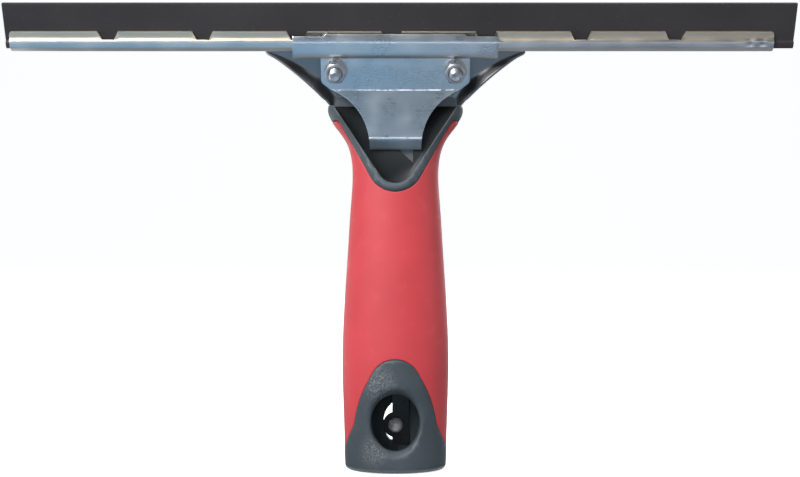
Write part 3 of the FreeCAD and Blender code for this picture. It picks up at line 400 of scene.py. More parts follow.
class Paint:
    """One material's nodes, built round its Principled shader."""

    def __init__(self, name, **constants):
        self.material = bpy.data.materials.new(name)
        self.material.use_nodes = True
        self.tree = self.material.node_tree
        self.shader = self.tree.nodes["Principled BSDF"]
        self.feed({self.shader.inputs[key.replace("_", " ")]: value for key, value in constants.items()})
        self.place = self.node("TexCoord", output="Object")

    def feed(self, sockets):
        for socket, value in sockets.items():
            if isinstance(value, Wire):
                self.tree.links.new(value.socket, socket)
            elif socket.type == "RGBA" and len(value) == 3:
                socket.default_value = (*value, 1)
            else:
                socket.default_value = value

    def node(self, kind, settings=None, inputs=None, output=0):
        """Adds a node: its type, its settings, then the values or links of its sockets."""
        made = self.tree.nodes.new("ShaderNode" + kind)
        for name, value in (settings or {}).items():
            setattr(made, name, value)
        self.feed({made.inputs[key]: value for key, value in (inputs or {}).items()})
        return Wire(self, made.outputs[output])

    def grain(self, scale, detail=3.0, stretch=(1, 1, 1), roughness=0.55):
        """Noise from 0 to 1; scale is in cycles a metre and stretch shortens it along an axis."""
        spot = self.node("Mapping", {}, {"Vector": self.place, "Scale": stretch})
        return self.node("TexNoise", {}, {"Vector": spot, "Scale": scale, "Detail": detail,
                                          "Roughness": roughness})

    def axes(self):
        """The place's x, y and z, in metres."""
        split = self.node("SeparateXYZ", {}, {0: self.place})
        return [Wire(self, socket) for socket in split.socket.node.outputs]

    def absolute(self, value):
        return self.node("Math", {"operation": "ABSOLUTE"}, {0: value})

    def band(self, value, centre, half):
        """1 at the centre, 0 beyond the half width on either side."""
        return 1 - self.above(self.absolute(value - centre), half * 0.4, half)

    def above(self, value, low, high):
        """0 below low, 1 above high, a smooth step between."""
        return self.node("MapRange", {"interpolation_type": "SMOOTHSTEP"},
                         {"Value": value, "From Min": low, "From Max": high})

    def mix(self, factor, first, second):
        return self.node("Mix", {"data_type": "RGBA"}, {0: factor, 6: first, 7: second}, output=2)

    def finish(self, base, roughness, height=None, depth=0.00005, strength=0.5):
        """Feeds the shader; the bump's depth is in metres."""
        inputs = self.shader.inputs
        self.feed({inputs["Base Color"]: base, inputs["Roughness"]: roughness})
        if height is not None:
            bump = self.node("Bump", {}, {"Height": height, "Distance": depth, "Strength": strength})
            self.feed({inputs["Normal"]: bump})
        return self.material


def shade(base, factor):
    """A colour made darker or lighter."""
    return tuple(min(channel * factor, 1.0) for channel in base)


def soft_grip(look):
    """Satin rubber: fine moulded pimples, faint handling marks and a slightly greyed bloom."""
    paint = Paint("soft_grip_rubber", Sheen_Weight=0.12, Sheen_Roughness=0.4, Specular_IOR_Level=0.42)
    pimples = paint.grain(3200, 2)
    cloud = paint.grain(38, 3)
    rubbed = paint.above(paint.grain(150, 5), 0.56, 0.74)
    base = paint.mix(paint.above(cloud, 0.3, 0.7), shade(look.grip, 0.93), shade(look.grip, 1.05))
    base = paint.mix(rubbed * 0.12, base, (0.70, 0.16, 0.17))
    return paint.finish(base, 0.46 + 0.07 * cloud - 0.08 * rubbed, pimples, 0.00002, 0.35)


def moulded_core(look):
    """Spark-eroded plastic: coarse glinting grain, paler flecks, two patches of painted glints on the front's
    left side and painted shadow in the collar's V-shaped mouth.
    """
    paint = Paint("moulded_core_plastic", Specular_IOR_Level=0.5)
    grain = paint.grain(1500, 3, roughness=0.7)
    fine = paint.grain(4200, 2)
    cloud = paint.grain(45, 4)
    fleck = paint.above(fine * 0.5 + grain * 0.5, 0.56, 0.66)
    base = paint.mix(paint.above(cloud, 0.3, 0.7), shade(look.core, 0.85), shade(look.core, 1.15))
    base = paint.mix(fleck * 0.3, base, shade(look.core, 2.4))
    # Two patches of painted glints on the front's left side, where the key light sparkles on the grain.
    for spot, reach in (((-0.0065, -0.0145, 0.037), 0.0085), ((-0.0085, -0.0145, 0.0085), 0.007)):
        away = paint.node("VectorMath", {"operation": "DISTANCE"}, {0: paint.place, 1: spot}, output=1)
        near = 1 - paint.above(away + (cloud - 0.5) * 0.012, reach * 0.25, reach)
        glint = paint.above(fine * 0.6 + grain * 0.4, 0.50, 0.60) * near
        base = paint.mix(glint * 0.75, base, (0.34, 0.36, 0.36))
    across, depth, height = paint.axes()
    inside = paint.above((height - 0.1155) * 0.70 + 0.004 - paint.absolute(across), 0, 0.001)
    shadowed = paint.band(depth, 0.0012, 0.0006) * inside
    base = paint.mix(shadowed * 0.8, base, (0.012, 0.012, 0.012))
    return paint.finish(base, 0.36 + 0.18 * grain + 0.06 * cloud, grain + fine * 0.6, 0.00011, 0.5)


def wiper_rubber(look):
    """Calendered rubber: lengthwise drag marks, dust, and painted shade along the top edge, which is also
    rougher.
    """
    paint = Paint("calendered_rubber", Specular_IOR_Level=0.3)
    drag = paint.grain(1400, 3, (0.02, 1, 1))
    dust = paint.above(paint.grain(900, 6), 0.62, 0.8)
    cloud = paint.grain(22, 3)
    base = paint.mix(paint.above(cloud, 0.3, 0.7), shade(look.rubber, 0.9), shade(look.rubber, 1.25))
    base = paint.mix(dust * 0.25, base, (0.20, 0.20, 0.20))
    # Painted shade: a thin band along the top edge is painted almost black, for the dark line of the edge's
    # bevel; the band is also rougher.
    cut = paint.above(paint.axes()[2], 0.18660, 0.18685)
    base = paint.mix(cut, base, (0.002, 0.002, 0.002))
    return paint.finish(base, 0.42 + 0.2 * drag + 0.1 * dust + 0.3 * cut, drag + dust * 0.3, 0.00004, 0.3)


def worn_metal(name, base, roughness, stretch, wear, stains_and_shade=0.0, folds=()):
    """Metal with a rolling grain, slight waves, broad smudges and clusters of small scuffs. stains_and_shade
    weighs beige water marks on the front of the channel's lips and painted shade, almost black, on the lip
    between the hooks; folds are heights, in metres, of the creases, painted with a bright, rougher highlight."""
    paint = Paint(name, Metallic=1.0)
    rolled = paint.grain(2600, 3, stretch)
    smudge = paint.above(paint.grain(70, 4), 0.38, 0.66)
    cluster = paint.above(paint.grain(95, 2), 0.50, 0.62)
    scuff = paint.above(paint.grain(2100, 4, roughness=0.7), 0.56, 0.70) * cluster * wear
    tone = paint.mix(rolled * 0.5 + smudge * 0.3, shade(base, 0.80), shade(base, 1.06))
    tone = paint.mix(scuff * 0.5, tone, shade(base, 1.3))
    rough = roughness + 0.10 * rolled + 0.10 * smudge + 0.28 * scuff
    if stains_and_shade:
        across, depth, height = paint.axes()
        outward = (-1 * depth + HEAD_Y * MM) * math.cos(LEAN) - (height - HEAD_Z * MM) * math.sin(LEAN)
        stain_and_shade = paint.above(height + (smudge - 0.5) * 0.0006, 0.1721, 0.1727) * stains_and_shade
        stain_and_shade = stain_and_shade * paint.above(outward, 0.0006, 0.0014)
        tone = paint.mix(stain_and_shade, tone, (0.58, 0.47, 0.33))
        rough = rough + 0.18 * stain_and_shade
        # Painted shade: between the hooks the lip above the front hook is painted almost black.
        lip_shade = stain_and_shade * (1 - paint.above(paint.absolute(across), 0.0405, 0.0412))
        lip_shade = lip_shade * (1 - paint.above(height, 0.1755, 0.1758))
        tone = paint.mix(lip_shade, tone, (0.03, 0.03, 0.03))
    # Painted highlight: a patchy bright, rougher band along each crease.
    for fold in folds:
        crease_highlight = paint.band(paint.axes()[2] + (rolled - 0.5) * 0.0002, fold, 0.00045)
        crease_highlight = crease_highlight * paint.above(paint.grain(420, 3), 0.36, 0.52)
        tone = paint.mix(crease_highlight * 0.85, tone, (0.95, 0.95, 0.96))
        rough = rough + 0.40 * crease_highlight
    waves = paint.grain(75, 1, (0.5, 1, 1))
    return paint.finish(tone, rough, waves * 40 + rolled * 0.4 + scuff, 0.00001, 0.5)


def clean_metal(name, base, roughness, metallic=1.0):
    """Small parts: a fine drawn grain with a few dull specks."""
    paint = Paint(name, Metallic=metallic)
    fine = paint.grain(3800, 3)
    speck = paint.above(paint.grain(1300, 3), 0.58, 0.72)
    tone = paint.mix(speck * 0.6, shade(base, 1.05), shade(base, 0.7))
    return paint.finish(tone, roughness + 0.12 * fine + 0.15 * speck, fine, 0.000006, 0.4)


# ---------------- blade


def rubber_piece(sizes):
    """The rubber's outline (bead, web and taper to the wiping edge, corners rounded) carried along X;
    each end closes on the outline's middle line."""
    foot, bead, bead_half, tip = 16.9, 19.5, 2.3, 35.0
    web, edge = sizes.web_wide / MM / 2, sizes.edge_wide / MM / 2
    half = [(0, foot), (bead_half - 0.75, foot), (bead_half, foot + 0.75), (bead_half, bead),
            (web, bead + 0.65), (web, CHANNEL_TOP), (edge, tip)]
    outline = Line(both_sides(half), 0.16, parts=3)
    loop = outline.at(outline.rows(1.2)[:-1])
    middle = np.stack([0 * loop[:, 0], np.clip(loop[:, 1], foot + 0.4, tip - 0.4)], axis=1)
    low, high = RUBBER_LOW[0], RUBBER_HIGH[0]
    stations = np.linspace(low, high, 160)
    body = wide(stations[:, None], head_yz(loop[:, 0], loop[:, 1])[None])
    ends = head_yz(middle[:, 0], middle[:, 1])
    shell = Shell()
    first, last = (wide(np.array([[x]]), ends[None]) for x in (low, high))
    shell.grid(np.concatenate([first, body, last]), around=True)
    return shell.piece("wiping_rubber", 30)


def channel_piece(sizes):
    """The folded strip's middle line (lips, bulge and flat foot) carried along X. The front lip's
    first row drops into each notch and rounds off at the ends, and two crimps press the bulge in."""
    foot, foot_half, fold_radius = 15.7, 2.0, 1.2
    bulge, lip = sizes.bulge_wide / MM / 2, sizes.lip_wide / MM / 2
    half = [(lip, CHANNEL_TOP), (lip, foot + 5.6), (bulge, foot + 4.8), (bulge, foot + 1.9),
            (foot_half, foot)]
    fold = Line(both_sides(half), fold_radius, parts=5)
    low, high = CHANNEL_LOW[0], CHANNEL_HIGH[0]
    centre = (low + high) / 2
    slots = centre + (np.arange(sizes.notch_count) - (sizes.notch_count - 1) / 2) * sizes.notch_pitch / MM
    base_half, top_half = 2.4, 4.2
    marks = (slots[:, None] + np.array([-top_half, -base_half, base_half, top_half])).ravel()
    near_ends = np.concatenate([low + np.linspace(0, 1.6, 6), high - np.linspace(0, 1.6, 6)])
    crimps = np.linspace(high - 13, high - 1, 25)
    stations = np.unique(np.round(np.concatenate([np.linspace(low, high, 160), marks, near_ends, crimps]), 4))
    aside = np.abs(stations[:, None] - slots).min(axis=1)
    drop = sizes.notch_deep / MM * np.clip((top_half - aside) / (top_half - base_half), 0, 1)
    inset = np.minimum(stations - low, high - stations)
    corner = 1.4
    drop += corner - np.sqrt(np.maximum(corner**2 - np.maximum(corner - inset, 0) ** 2, 0))
    # Down to this distance from the front lip's edge the rows follow the notches.
    split = 4.4
    fixed = fold.rows(1.5)
    fixed = np.tile(fixed[fixed > split], (len(stations), 1))
    rows = np.concatenate([drop[:, None] + (split - drop[:, None]) * fractions(12), fixed], axis=1)
    section = fold.at(rows, -sizes.channel_sheet / MM / 2)
    outward, up = section[..., 0], section[..., 1]
    x = stations[:, None]
    press = sizes.crimp_deep / MM * (hill(x, high - 9.5, 1.5) + hill(x, high - 4.4, 1.5))
    press = press * hill(up, foot + 3.2, 1.9) * (outward > 1.5)
    folded = Shell().grid(wide(x, head_yz(outward - press, up))).piece("folded_channel", 50)
    return sheet_walls(folded, sizes.channel_sheet, 0.12)


# ---------------- jaws


def front_jaw_piece(sizes):
    """The side line (tongue, crease, plate, hook) carried across the jaw's half width at each height:
    tongue, hollow side arcs, cropped plate corners, then the long hook with its raised middle. The plate
    is whole behind the washers: the bolts' holes are covered and left out."""
    sheet, tongue = sizes.sheet / MM, sizes.tongue_half / MM
    plate, hook, crown = sizes.plate_half / MM, sizes.hook_half / MM, sizes.crown_half / MM
    step_up, step_top, tongue_top = 13.8, 15.2, 131.1
    inner = [(1.15, 130.6), (-1.45, 134.5), head_yz(PLATE_GAP, 0), head_yz(PLATE_GAP, step_up),
             head_yz(HOOK_GAP, step_top), head_yz(HOOK_GAP, HOOK_TOP), head_yz(LIP_GAP, HOOK_END)]
    bend, roll = sizes.bend / MM, sizes.hook_roll / MM
    line = Line(inner, (bend, bend, bend, roll, roll))
    crease = head_yz(PLATE_GAP + sheet, 0)[1]
    waist, crop = 25.7, 3.4
    gain, drop = waist - tongue, crease - tongue_top
    radius = (gain**2 + drop**2) / (2 * gain)
    corner = crease + crop * math.cos(LEAN)
    spots = line.rows(0.9)
    height = line.at(spots, sheet / 2)[:, 1]
    arc = tongue + radius - np.sqrt(np.maximum(radius**2 - np.maximum(height - tongue_top, 0) ** 2, 0))
    lower = np.interp(height, [crease, corner], [waist, plate])
    half = np.where(height < tongue_top, tongue, np.where(height < crease, arc, np.minimum(lower, plate)))
    start = np.searchsorted(height, head_yz(PLATE_GAP + sheet, step_up)[1])
    half[start:] = plate
    # Columns: even steps, with extra ones at the crown's shoulders.
    step = sizes.hook_step / MM
    marks = np.array([crown, crown + step]) / plate
    even = np.linspace(0, 1, 43)
    right = np.unique(np.concatenate([even[np.abs(even[:, None] - marks).min(axis=1) > 0.008], marks]))
    columns = np.concatenate([-right[:0:-1], right])
    top, bend_top = line.length, spots[start]

    def shortened(x, spots):
        """Distances along the hook, squeezed so that its edge ends lower beyond the crown."""
        ridge = top - step * np.clip((np.abs(x) - crown) / step, 0, 1)
        return bend_top + (spots - bend_top) * (ridge - bend_top) / (top - bend_top)

    x, down = columns[None] * half[:, None], spots[:, None]
    rise = np.where(down > bend_top, shortened(x, down), down)
    # The crease dips a little at its middle.
    dip = 0.9 * hill(x, 0.8, 1.6) * hill(down, np.interp(crease, height, spots), 3)
    shell = Shell()
    shell.grid(wide(x, line.at(rise + dip, sheet / 2)))
    for side in (-1, 1):
        wing_x = side * np.linspace(plate, hook, 12)[None]
        shell.grid(wide(wing_x, line.at(shortened(wing_x, down[start:]), sheet / 2)))
    return sheet_walls(shell.piece("front_clamp_jaw", 60), sizes.sheet, 0.30)


def rear_jaw_piece(sizes):
    """The side line (shank, bend, web, hook) carried across the half width at each height, wings beyond
    the hook, and flanges that turn forwards from the hollow edges through a rounded fold: the fold is
    the curve (1-t)^2 a + 2t(1-t) b + t^2 c between web, edge and flange."""
    sheet, hook = sizes.sheet / MM, sizes.hook_half / MM
    bend_up = (HEAD_Y + PLATE_GAP * math.cos(LEAN) - SHANK_Y) / math.sin(LEAN)
    shank_end, root_half, tip_half, tip_up, flat_up = 95, 25.5, 52.4, 14.4, 13.6
    inner = [(SHANK_Y, shank_end), head_yz(-PLATE_GAP, bend_up), head_yz(-PLATE_GAP, 14.6),
             head_yz(-HOOK_GAP, 16.0), head_yz(-HOOK_GAP, HOOK_TOP), head_yz(-LIP_GAP, HOOK_END)]
    line = Line(inner, sizes.bend / MM)
    spots = line.rows(0.9)
    flat = line.at(spots, -sheet / 2)
    height = flat[:, 1]
    web = -PLATE_GAP - sheet / 2
    up = (height - head_yz(web, 0)[1]) / math.cos(LEAN)
    web_half = arc_half((root_half, bend_up), (tip_half, tip_up), sizes.wing_arc / MM)
    shank = np.interp(height, [shank_end, 118, RIM, RIM + 0.3], [7, 8.7, 24, root_half])
    half = np.where(up > bend_up, web_half(np.clip(up, bend_up, tip_up)), shank)
    shell = Shell()
    columns = np.linspace(-1, 1, 83)
    shell.grid(wide(columns[None] * np.minimum(half, hook)[:, None], flat[:, None]))
    # Wings beyond the hooks, flat up to the tips.
    first = np.searchsorted(half, hook)
    wing_up = up[first - 1 :]
    wing_up = np.concatenate([wing_up[wing_up < flat_up], [14.0, tip_up, 15.5]])
    wing_half = np.maximum(web_half(np.minimum(wing_up, tip_up)), hook)
    wing_half[-1] = wing_half[-2]
    wing = head_yz(web, wing_up)
    for side in (-1, 1):
        x = side * (hook + (wing_half - hook)[:, None] * fractions(16))
        shell.grid(wide(x, wing[:, None]))
    # Flanges: rays run this way from the edge's points until they meet the outline seen from the front.
    ways = np.array([0.45, -0.556, -0.7006])
    edge_up = np.concatenate([up[(up > bend_up + 0.5) & (up < flat_up)], [14.0, tip_up]])
    low_z = np.linspace(RIM + 0.4, head_yz(web, bend_up + 0.5)[1], 6)[:-1]
    low = np.stack([np.full(5, root_half), np.full(5, SHANK_Y + sheet / 2), low_z], axis=1)
    root = np.concatenate([low, wide(web_half(edge_up), head_yz(web, edge_up))])
    outline = arc_half((26.6, RIM + 0.3), (tip_half, 169.0), sizes.flange_arc / MM)
    reach = np.linspace(0, 16, 641)
    ray_z = root[:, 2:] + ways[2] * reach
    inside = (root[:, :1] + ways[0] * reach <= outline(ray_z)) & (ray_z >= RIM + 0.3)
    run = reach[np.maximum(np.argmin(inside, axis=1) - 1, 0)]
    run = np.convolve(np.pad(run, 2, mode="edge"), np.ones(5) / 5, mode="valid")
    run[-1] = 0.3
    fold = np.minimum(2.2, run * 0.45)[:, None, None]
    t = fractions(7)[:, None]
    near = root[:, None] - fold * np.array([1.0, 0, 0])
    far = root[:, None] + fold * ways
    curve = (1 - t) ** 2 * near + 2 * t * (1 - t) * root[:, None] + t**2 * far
    blade = far + (root[:, None] + run[:, None, None] * ways - far) * fractions(9)[:, None]
    flange = np.concatenate([curve, blade[:, 1:]], axis=1)
    for side in (-1, 1):
        shell.grid(flange * np.array([side, 1, 1]))
    return sheet_walls(shell.piece("rear_clamp_jaw", 60), sizes.sheet, 0.22)


# ---------------- fasteners


def turned(x, rows, radius, angle):
    """Points round a bolt's axis: rows are distances outward, radius one value per row and angle."""
    across = x + radius * np.cos(angle)
    up = BOLT_UP + radius * np.sin(angle)
    return wide(across, head_yz(np.broadcast_to(rows, up.shape), up))


def bolt_piece(sizes, side, x):
    """A turned profile (domed head, square neck, shaft) with a single-start thread:
    r = R - depth * (1 - cos(2 pi (a / pitch - angle / 2 pi))) / 2, held inside the end's chamfer."""
    radius, head, pitch = sizes.bolt_radius / MM, sizes.head_radius / MM, sizes.pitch / MM
    angle = circle(64)[None]
    end, start, run_in = 12.5, 0.4, 1.2
    neck_half, neck_corner = 2.6, 3.45
    t = np.linspace(0, math.pi / 2, 14)
    dome = np.stack([-3.75 - 1.85 * np.cos(t), head * np.sin(t)], axis=1)
    seat = np.array([(-3.4, head), (-3.22, head - 0.12), (CLAMP_BACK, head - 0.5), (CLAMP_BACK, 3.9)])
    shaft = np.arange(start, end - 0.02, 0.085)[:, None]
    tip = np.array([(end, 1.75), (end - 0.05, 1.3), (end - 0.25, 0.9), (end - 0.3, 0.0)])
    plain = np.concatenate([dome, seat])
    square = neck_half / np.maximum(np.abs(np.cos(angle)), np.abs(np.sin(angle)))
    square = np.minimum(square, neck_corner)
    neck_rows = np.array([CLAMP_BACK, -2.1, -1.9])[:, None]
    neck = np.concatenate([square, square, 0 * square + radius])
    wave = (1 - np.cos(2 * math.pi * (shaft / pitch - angle / (2 * math.pi)))) / 2
    thread = radius - sizes.thread_deep / MM * wave * smooth((shaft - start) / run_in)
    thread = np.minimum(thread, 1.8 + (end - shaft))
    rows = np.concatenate([plain[:, :1], neck_rows, shaft, tip[:, :1]])
    radii = np.concatenate([plain[:, 1:] + 0 * angle, neck, thread, tip[:, 1:] + 0 * angle])
    return Shell().grid(turned(x, rows, radii, angle), around=True).piece("clamp_bolt_threaded_" + side, 40)


def nut_piece(sizes, side, x):
    """A hexagon r = (flats / 2) / cos(angle from the flat's middle), its corners cut by a 30 degree
    cone at both faces, with a countersunk bore."""
    flat = sizes.flats / MM / 2
    angle = circle(120)[None]
    soft = 0.06
    # A corner lies along X, so the flats' middles are half a side away.
    off = (angle % (math.pi / 3)) - math.pi / 6
    hexagon = np.minimum(flat / np.cos(off), flat / math.cos(math.pi / 6) - soft)
    low, high, ring = 4.5, 8.5, flat * 0.93
    cone = (hexagon - ring) * math.tan(math.radians(30))
    bore, sunk = 2.52, 0.35
    flush = 0 * angle
    rows = [(high - sunk, bore), (high, bore + 0.38), (high, ring - 0.25), (high, ring)]
    a = [flush + r for r, _ in rows] + [high - cone, high - cone - soft, low + cone + soft, low + cone]
    r = [flush + v for _, v in rows] + [hexagon - soft / 2, hexagon, hexagon, hexagon - soft / 2]
    a += [flush + low, flush + low, flush + low + sunk]
    r += [flush + ring, flush + bore + 0.38, flush + bore]
    shell = Shell()
    shell.grid(turned(x, np.stack(a)[:, 0], np.stack(r)[:, 0], angle), around=True, ring=True)
    return shell.piece("clamp_nut_hexagon_" + side, 25)


def washer_piece(sizes, side, x):
    """A rounded square section, |a|^8 + |b|^8 = 1, carried round the bolt from one side of the split to
    the other and closed on its middle at both ends."""
    outer, inner, thick = sizes.washer_radius / MM, 2.65, sizes.washer_thick / MM
    gap, seat = 0.14, 3.25
    angle = np.linspace(math.pi / 2 + gap, math.pi * 2.5 - gap, 90)[:, None]
    t = circle(24)
    round_square = (np.abs(np.cos(t)) ** 8 + np.abs(np.sin(t)) ** 8) ** (-1 / 8)
    radius = (outer + inner) / 2 + (outer - inner) / 2 * np.cos(t) * round_square
    rise = seat + thick / 2 + (thick / 2) * np.sin(t) * round_square * 0.97
    body = turned(x, np.broadcast_to(rise, (90, 24)), np.broadcast_to(radius, (90, 24)), angle)
    ends = body[[0, -1]].mean(axis=1, keepdims=True) + 0 * body[[0, -1]]
    shell = Shell()
    shell.grid(np.concatenate([ends[:1], body, ends[1:]]), around=True)
    return shell.piece("split_washer_" + side, 40)


# ---------------- handle


def half_width(z):
    return spline(SECTIONS[:, 0], SECTIONS[:, 1], z)


def half_depth(z):
    return spline(SECTIONS[:, 0], SECTIONS[:, 2], z)


def handle_point(angle, z, inset=0.0):
    """Handle surface: x = a(z) sin(angle), y = -b(z) cos(angle), set in by inset; angle 0 is the front."""
    a, b = half_width(z) - inset, half_depth(z) - inset
    return joined(a * np.sin(angle), -b * np.cos(angle), z)


def rounded_v(x, bottom, radius, lean):
    """Height of a V with a round bottom over x: a circle, then straight flanks."""
    x = np.abs(x)
    touch = radius * math.cos(lean)
    circle = bottom + radius - np.sqrt(np.maximum(radius**2 - np.minimum(x, touch) ** 2, 0))
    return circle + np.maximum(x - touch, 0) / math.tan(lean)


def panel_height(x, top):
    """Height of a bare panel's outline over x: crown arc, long flank arc and a straight flare."""
    x = np.abs(x)
    crown_radius, flank_radius, flare_slope = 10.4, 47, 12 / 5
    flare, knee = np.array([16.6, 19.0]), np.array([9.78, top - 6.86])
    chord = knee - flare
    span = np.linalg.norm(chord)
    inward = np.array([-chord[1], chord[0]]) / span
    centre = (flare + knee) / 2 + inward * math.sqrt(flank_radius**2 - span**2 / 4)
    z = np.linspace(flare[1], knee[1], 60)
    flank_x = centre[0] + np.sqrt(flank_radius**2 - (z - centre[1]) ** 2)
    flank = np.interp(x, flank_x[::-1], z[::-1])
    straight = flare[1] - (x - flare[0]) * flare_slope
    # The crown's arc is lifted evenly outwards so that it ends on the knee.
    base = top - crown_radius
    lift = knee[1] - (base + math.sqrt(crown_radius**2 - knee[0] ** 2))
    crown = base + np.sqrt(np.maximum(crown_radius**2 - np.minimum(x, knee[0]) ** 2, 0))
    crown = crown + np.interp(x, [0, knee[0]], [0, lift])
    return np.where(x < knee[0], crown, np.where(x < flare[0], flank, straight))


def first_height(angle, heights, test):
    """Lowest of the heights at which the handle's surface passes the test, for each angle."""
    passed = test(half_width(heights)[None] * np.sin(angle)[:, None], heights[None])
    return heights[np.argmax(passed, axis=1)]


def ease(values, passes=2):
    """Runs a short average round a closed row of values."""
    for _ in range(passes):
        values = (np.roll(values, 1) + 2 * values + np.roll(values, -1)) / 4
    return values


def grip_limits(sizes, angle):
    """Lower and upper edge of the grip at each angle: the panels' arches, the V and the collar line."""
    heights = np.linspace(2, 60, 5801)
    top = sizes.panel_top / MM
    low = first_height(angle, heights, lambda x, z: z >= panel_height(x, top))
    heights = np.linspace(100, 141.2, 4121)
    front_line, back_line, v_radius, lean = 141.19, 139.5, 11.5, math.radians(29.5)
    bottom = sizes.v_height / MM
    v = first_height(angle, heights,
                     lambda x, z: z >= np.minimum(rounded_v(x, bottom, v_radius, lean), front_line))
    back = smooth((-np.cos(angle) + 0.02) / 0.22)
    return ease(low), ease(v * (1 - back) + back_line * back, 1)


def grip_piece(sizes):
    """A closed sleeve: outer skin between the grip's lower and upper edge, its edges rolled in by a
    quarter circle, and an inner skin one wall deeper."""
    round_about = circle(288)
    low, high = grip_limits(sizes, round_about)
    wall, roll = sizes.grip_wall / MM - 0.03, sizes.grip_round / MM
    gap, proud = 0.06, 0.06
    quarter = np.linspace(0, math.pi / 2, 6)
    rise = np.concatenate([roll * (1 - np.cos(quarter)), roll + np.geomspace(0.4, 3.0, 5)])
    sink = np.concatenate([roll * (1 - np.sin(quarter)), np.zeros(5)])
    body = fractions(90)[1:-1, None]
    lower = (low + gap)[None] + rise[:, None]
    upper = (high - gap)[None] - rise[::-1, None]
    z = np.concatenate([lower, lower[-1] + (upper[0] - lower[-1]) * body, upper])
    inset = np.concatenate([sink, 0 * body[:, 0], sink[::-1]])[:, None] - proud
    outer = handle_point(round_about[None], z, inset)
    inner_z = (low + gap) + (high - low - 2 * gap) * fractions(40)[::-1, None]
    inner = handle_point(round_about[None], inner_z, wall)
    return Shell().grid(np.concatenate([outer, inner]), around=True, ring=True).piece("soft_grip_sleeve", 50)


def core_piece():
    """A copy of the CAD core's surface with its loose triangles welded and smoothed."""
    mesh = frame["nodes"]["handle_core"].data.copy()
    mesh.name = "moulded_handle_core"
    return welded(mesh.name, mesh, 38, 1e-6)


# ---------------- lock


def lathe_y(shell, profile, x, z, count=64):
    """Turns a profile of (y, radius) about a line along Y."""
    profile = np.asarray(profile, float)
    angle = circle(count)[None]
    y, radius = profile[:, :1], profile[:, 1:]
    return shell.grid(joined(x + radius * np.cos(angle), y, z + radius * np.sin(angle)), around=True)


def spring_piece():
    """A flat leaf with a round eye at the ball: at each height a thin rectangle whose left side is the
    lower of the strip's side and the eye's circle; both ends close on the middle plane."""
    low, high, left, right, eye, front, back = 7.6, 46, -1.4, 5.6, 5.3, 11.9, 12.4
    z = np.linspace(low, high, 150)[:, None]
    left = np.minimum(left, -np.sqrt(np.maximum(eye**2 - (z - BALL_Z) ** 2, 0)))
    across = fractions(15)
    x = left + (right - left) * np.concatenate([across, across[::-1]])
    y = np.repeat([front, back], 15)
    body = joined(x, y, z)
    ends = body[[0, -1]].copy()
    ends[..., 1] = (front + back) / 2
    return Shell().grid(np.concatenate([ends[:1], body, ends[1:]]), around=True).piece("leaf_spring", 40)


def ball_piece():
    """A sphere cut flat at its shoulder, with a riveted stud behind the leaf."""
    centre, radius = 11.1, 3.1
    turn = np.linspace(0, 1.815, 40)
    ball = np.stack([centre - radius * np.cos(turn), radius * np.sin(turn)], axis=1)
    stud = [(11.85, 1.6), (12.45, 1.6), (12.45, 2.35), (12.6, 2.4), (12.95, 2.2), (13.12, 1.5), (13.15, 0)]
    return lathe_y(Shell(), np.concatenate([ball, stud]), 0, BALL_Z).piece("sprung_ball", 45)


def spring_rivet_piece():
    """Two turned rivets: low dome inside the socket, shank and rounded head outside."""
    inside, outside, shank, head = 11.9, 14.6, 1.5, 2.5
    t = np.linspace(0, math.pi / 2, 9)
    inner = np.stack([inside - 0.7 * np.cos(t), head * np.sin(t)], axis=1)
    outer = np.stack([outside + 1.1 * np.sin(t), head * np.cos(t)], axis=1)
    profile = np.concatenate([inner, [(inside, shank), (outside, shank)], outer])
    shell = Shell()
    for z in (35.5, 41.5):
        lathe_y(shell, profile, 2.1, z, 40)
    return shell.piece("spring_rivet_pair", 45)


# ---------------- stage


def sweep_piece():
    """A floor that turns up into a wall through a quarter circle, as a line carried along X."""
    turn = np.linspace(0, math.pi / 2, 24)
    cove, back, level = 1000, 3000, -0.3
    curve = np.stack([back + cove * np.sin(turn), level + cove - cove * np.cos(turn)], axis=1)
    line = np.concatenate([[(-back, level)], curve, [(back + cove, 2 * back)]])
    return Shell().grid(wide(np.linspace(-2 * back, 2 * back, 12)[:, None], line[None])).piece("paper_sweep")


def paper():
    paint = Paint("stage_paper", Specular_IOR_Level=0.2)
    cloud = paint.grain(3, 2)
    inputs = paint.shader.inputs
    paint.feed({inputs["Emission Color"]: (1, 1, 1), inputs["Emission Strength"]: 0.80})
    return paint.finish(paint.mix(cloud, (0.80, 0.80, 0.80), (0.83, 0.83, 0.83)), 0.8 + 0.1 * cloud)


def card_piece():
    """A level sheet just above the floor in front of the squeegee, for the metal to mirror."""
    shell = Shell()
    level = 1.5
    x, y = np.meshgrid(np.linspace(-900, 900, 10), np.linspace(-3000, 600, 13))
    shell.grid(np.stack([x, y, 0 * x + level], axis=-1))
    return shell.piece("mirrored_card")


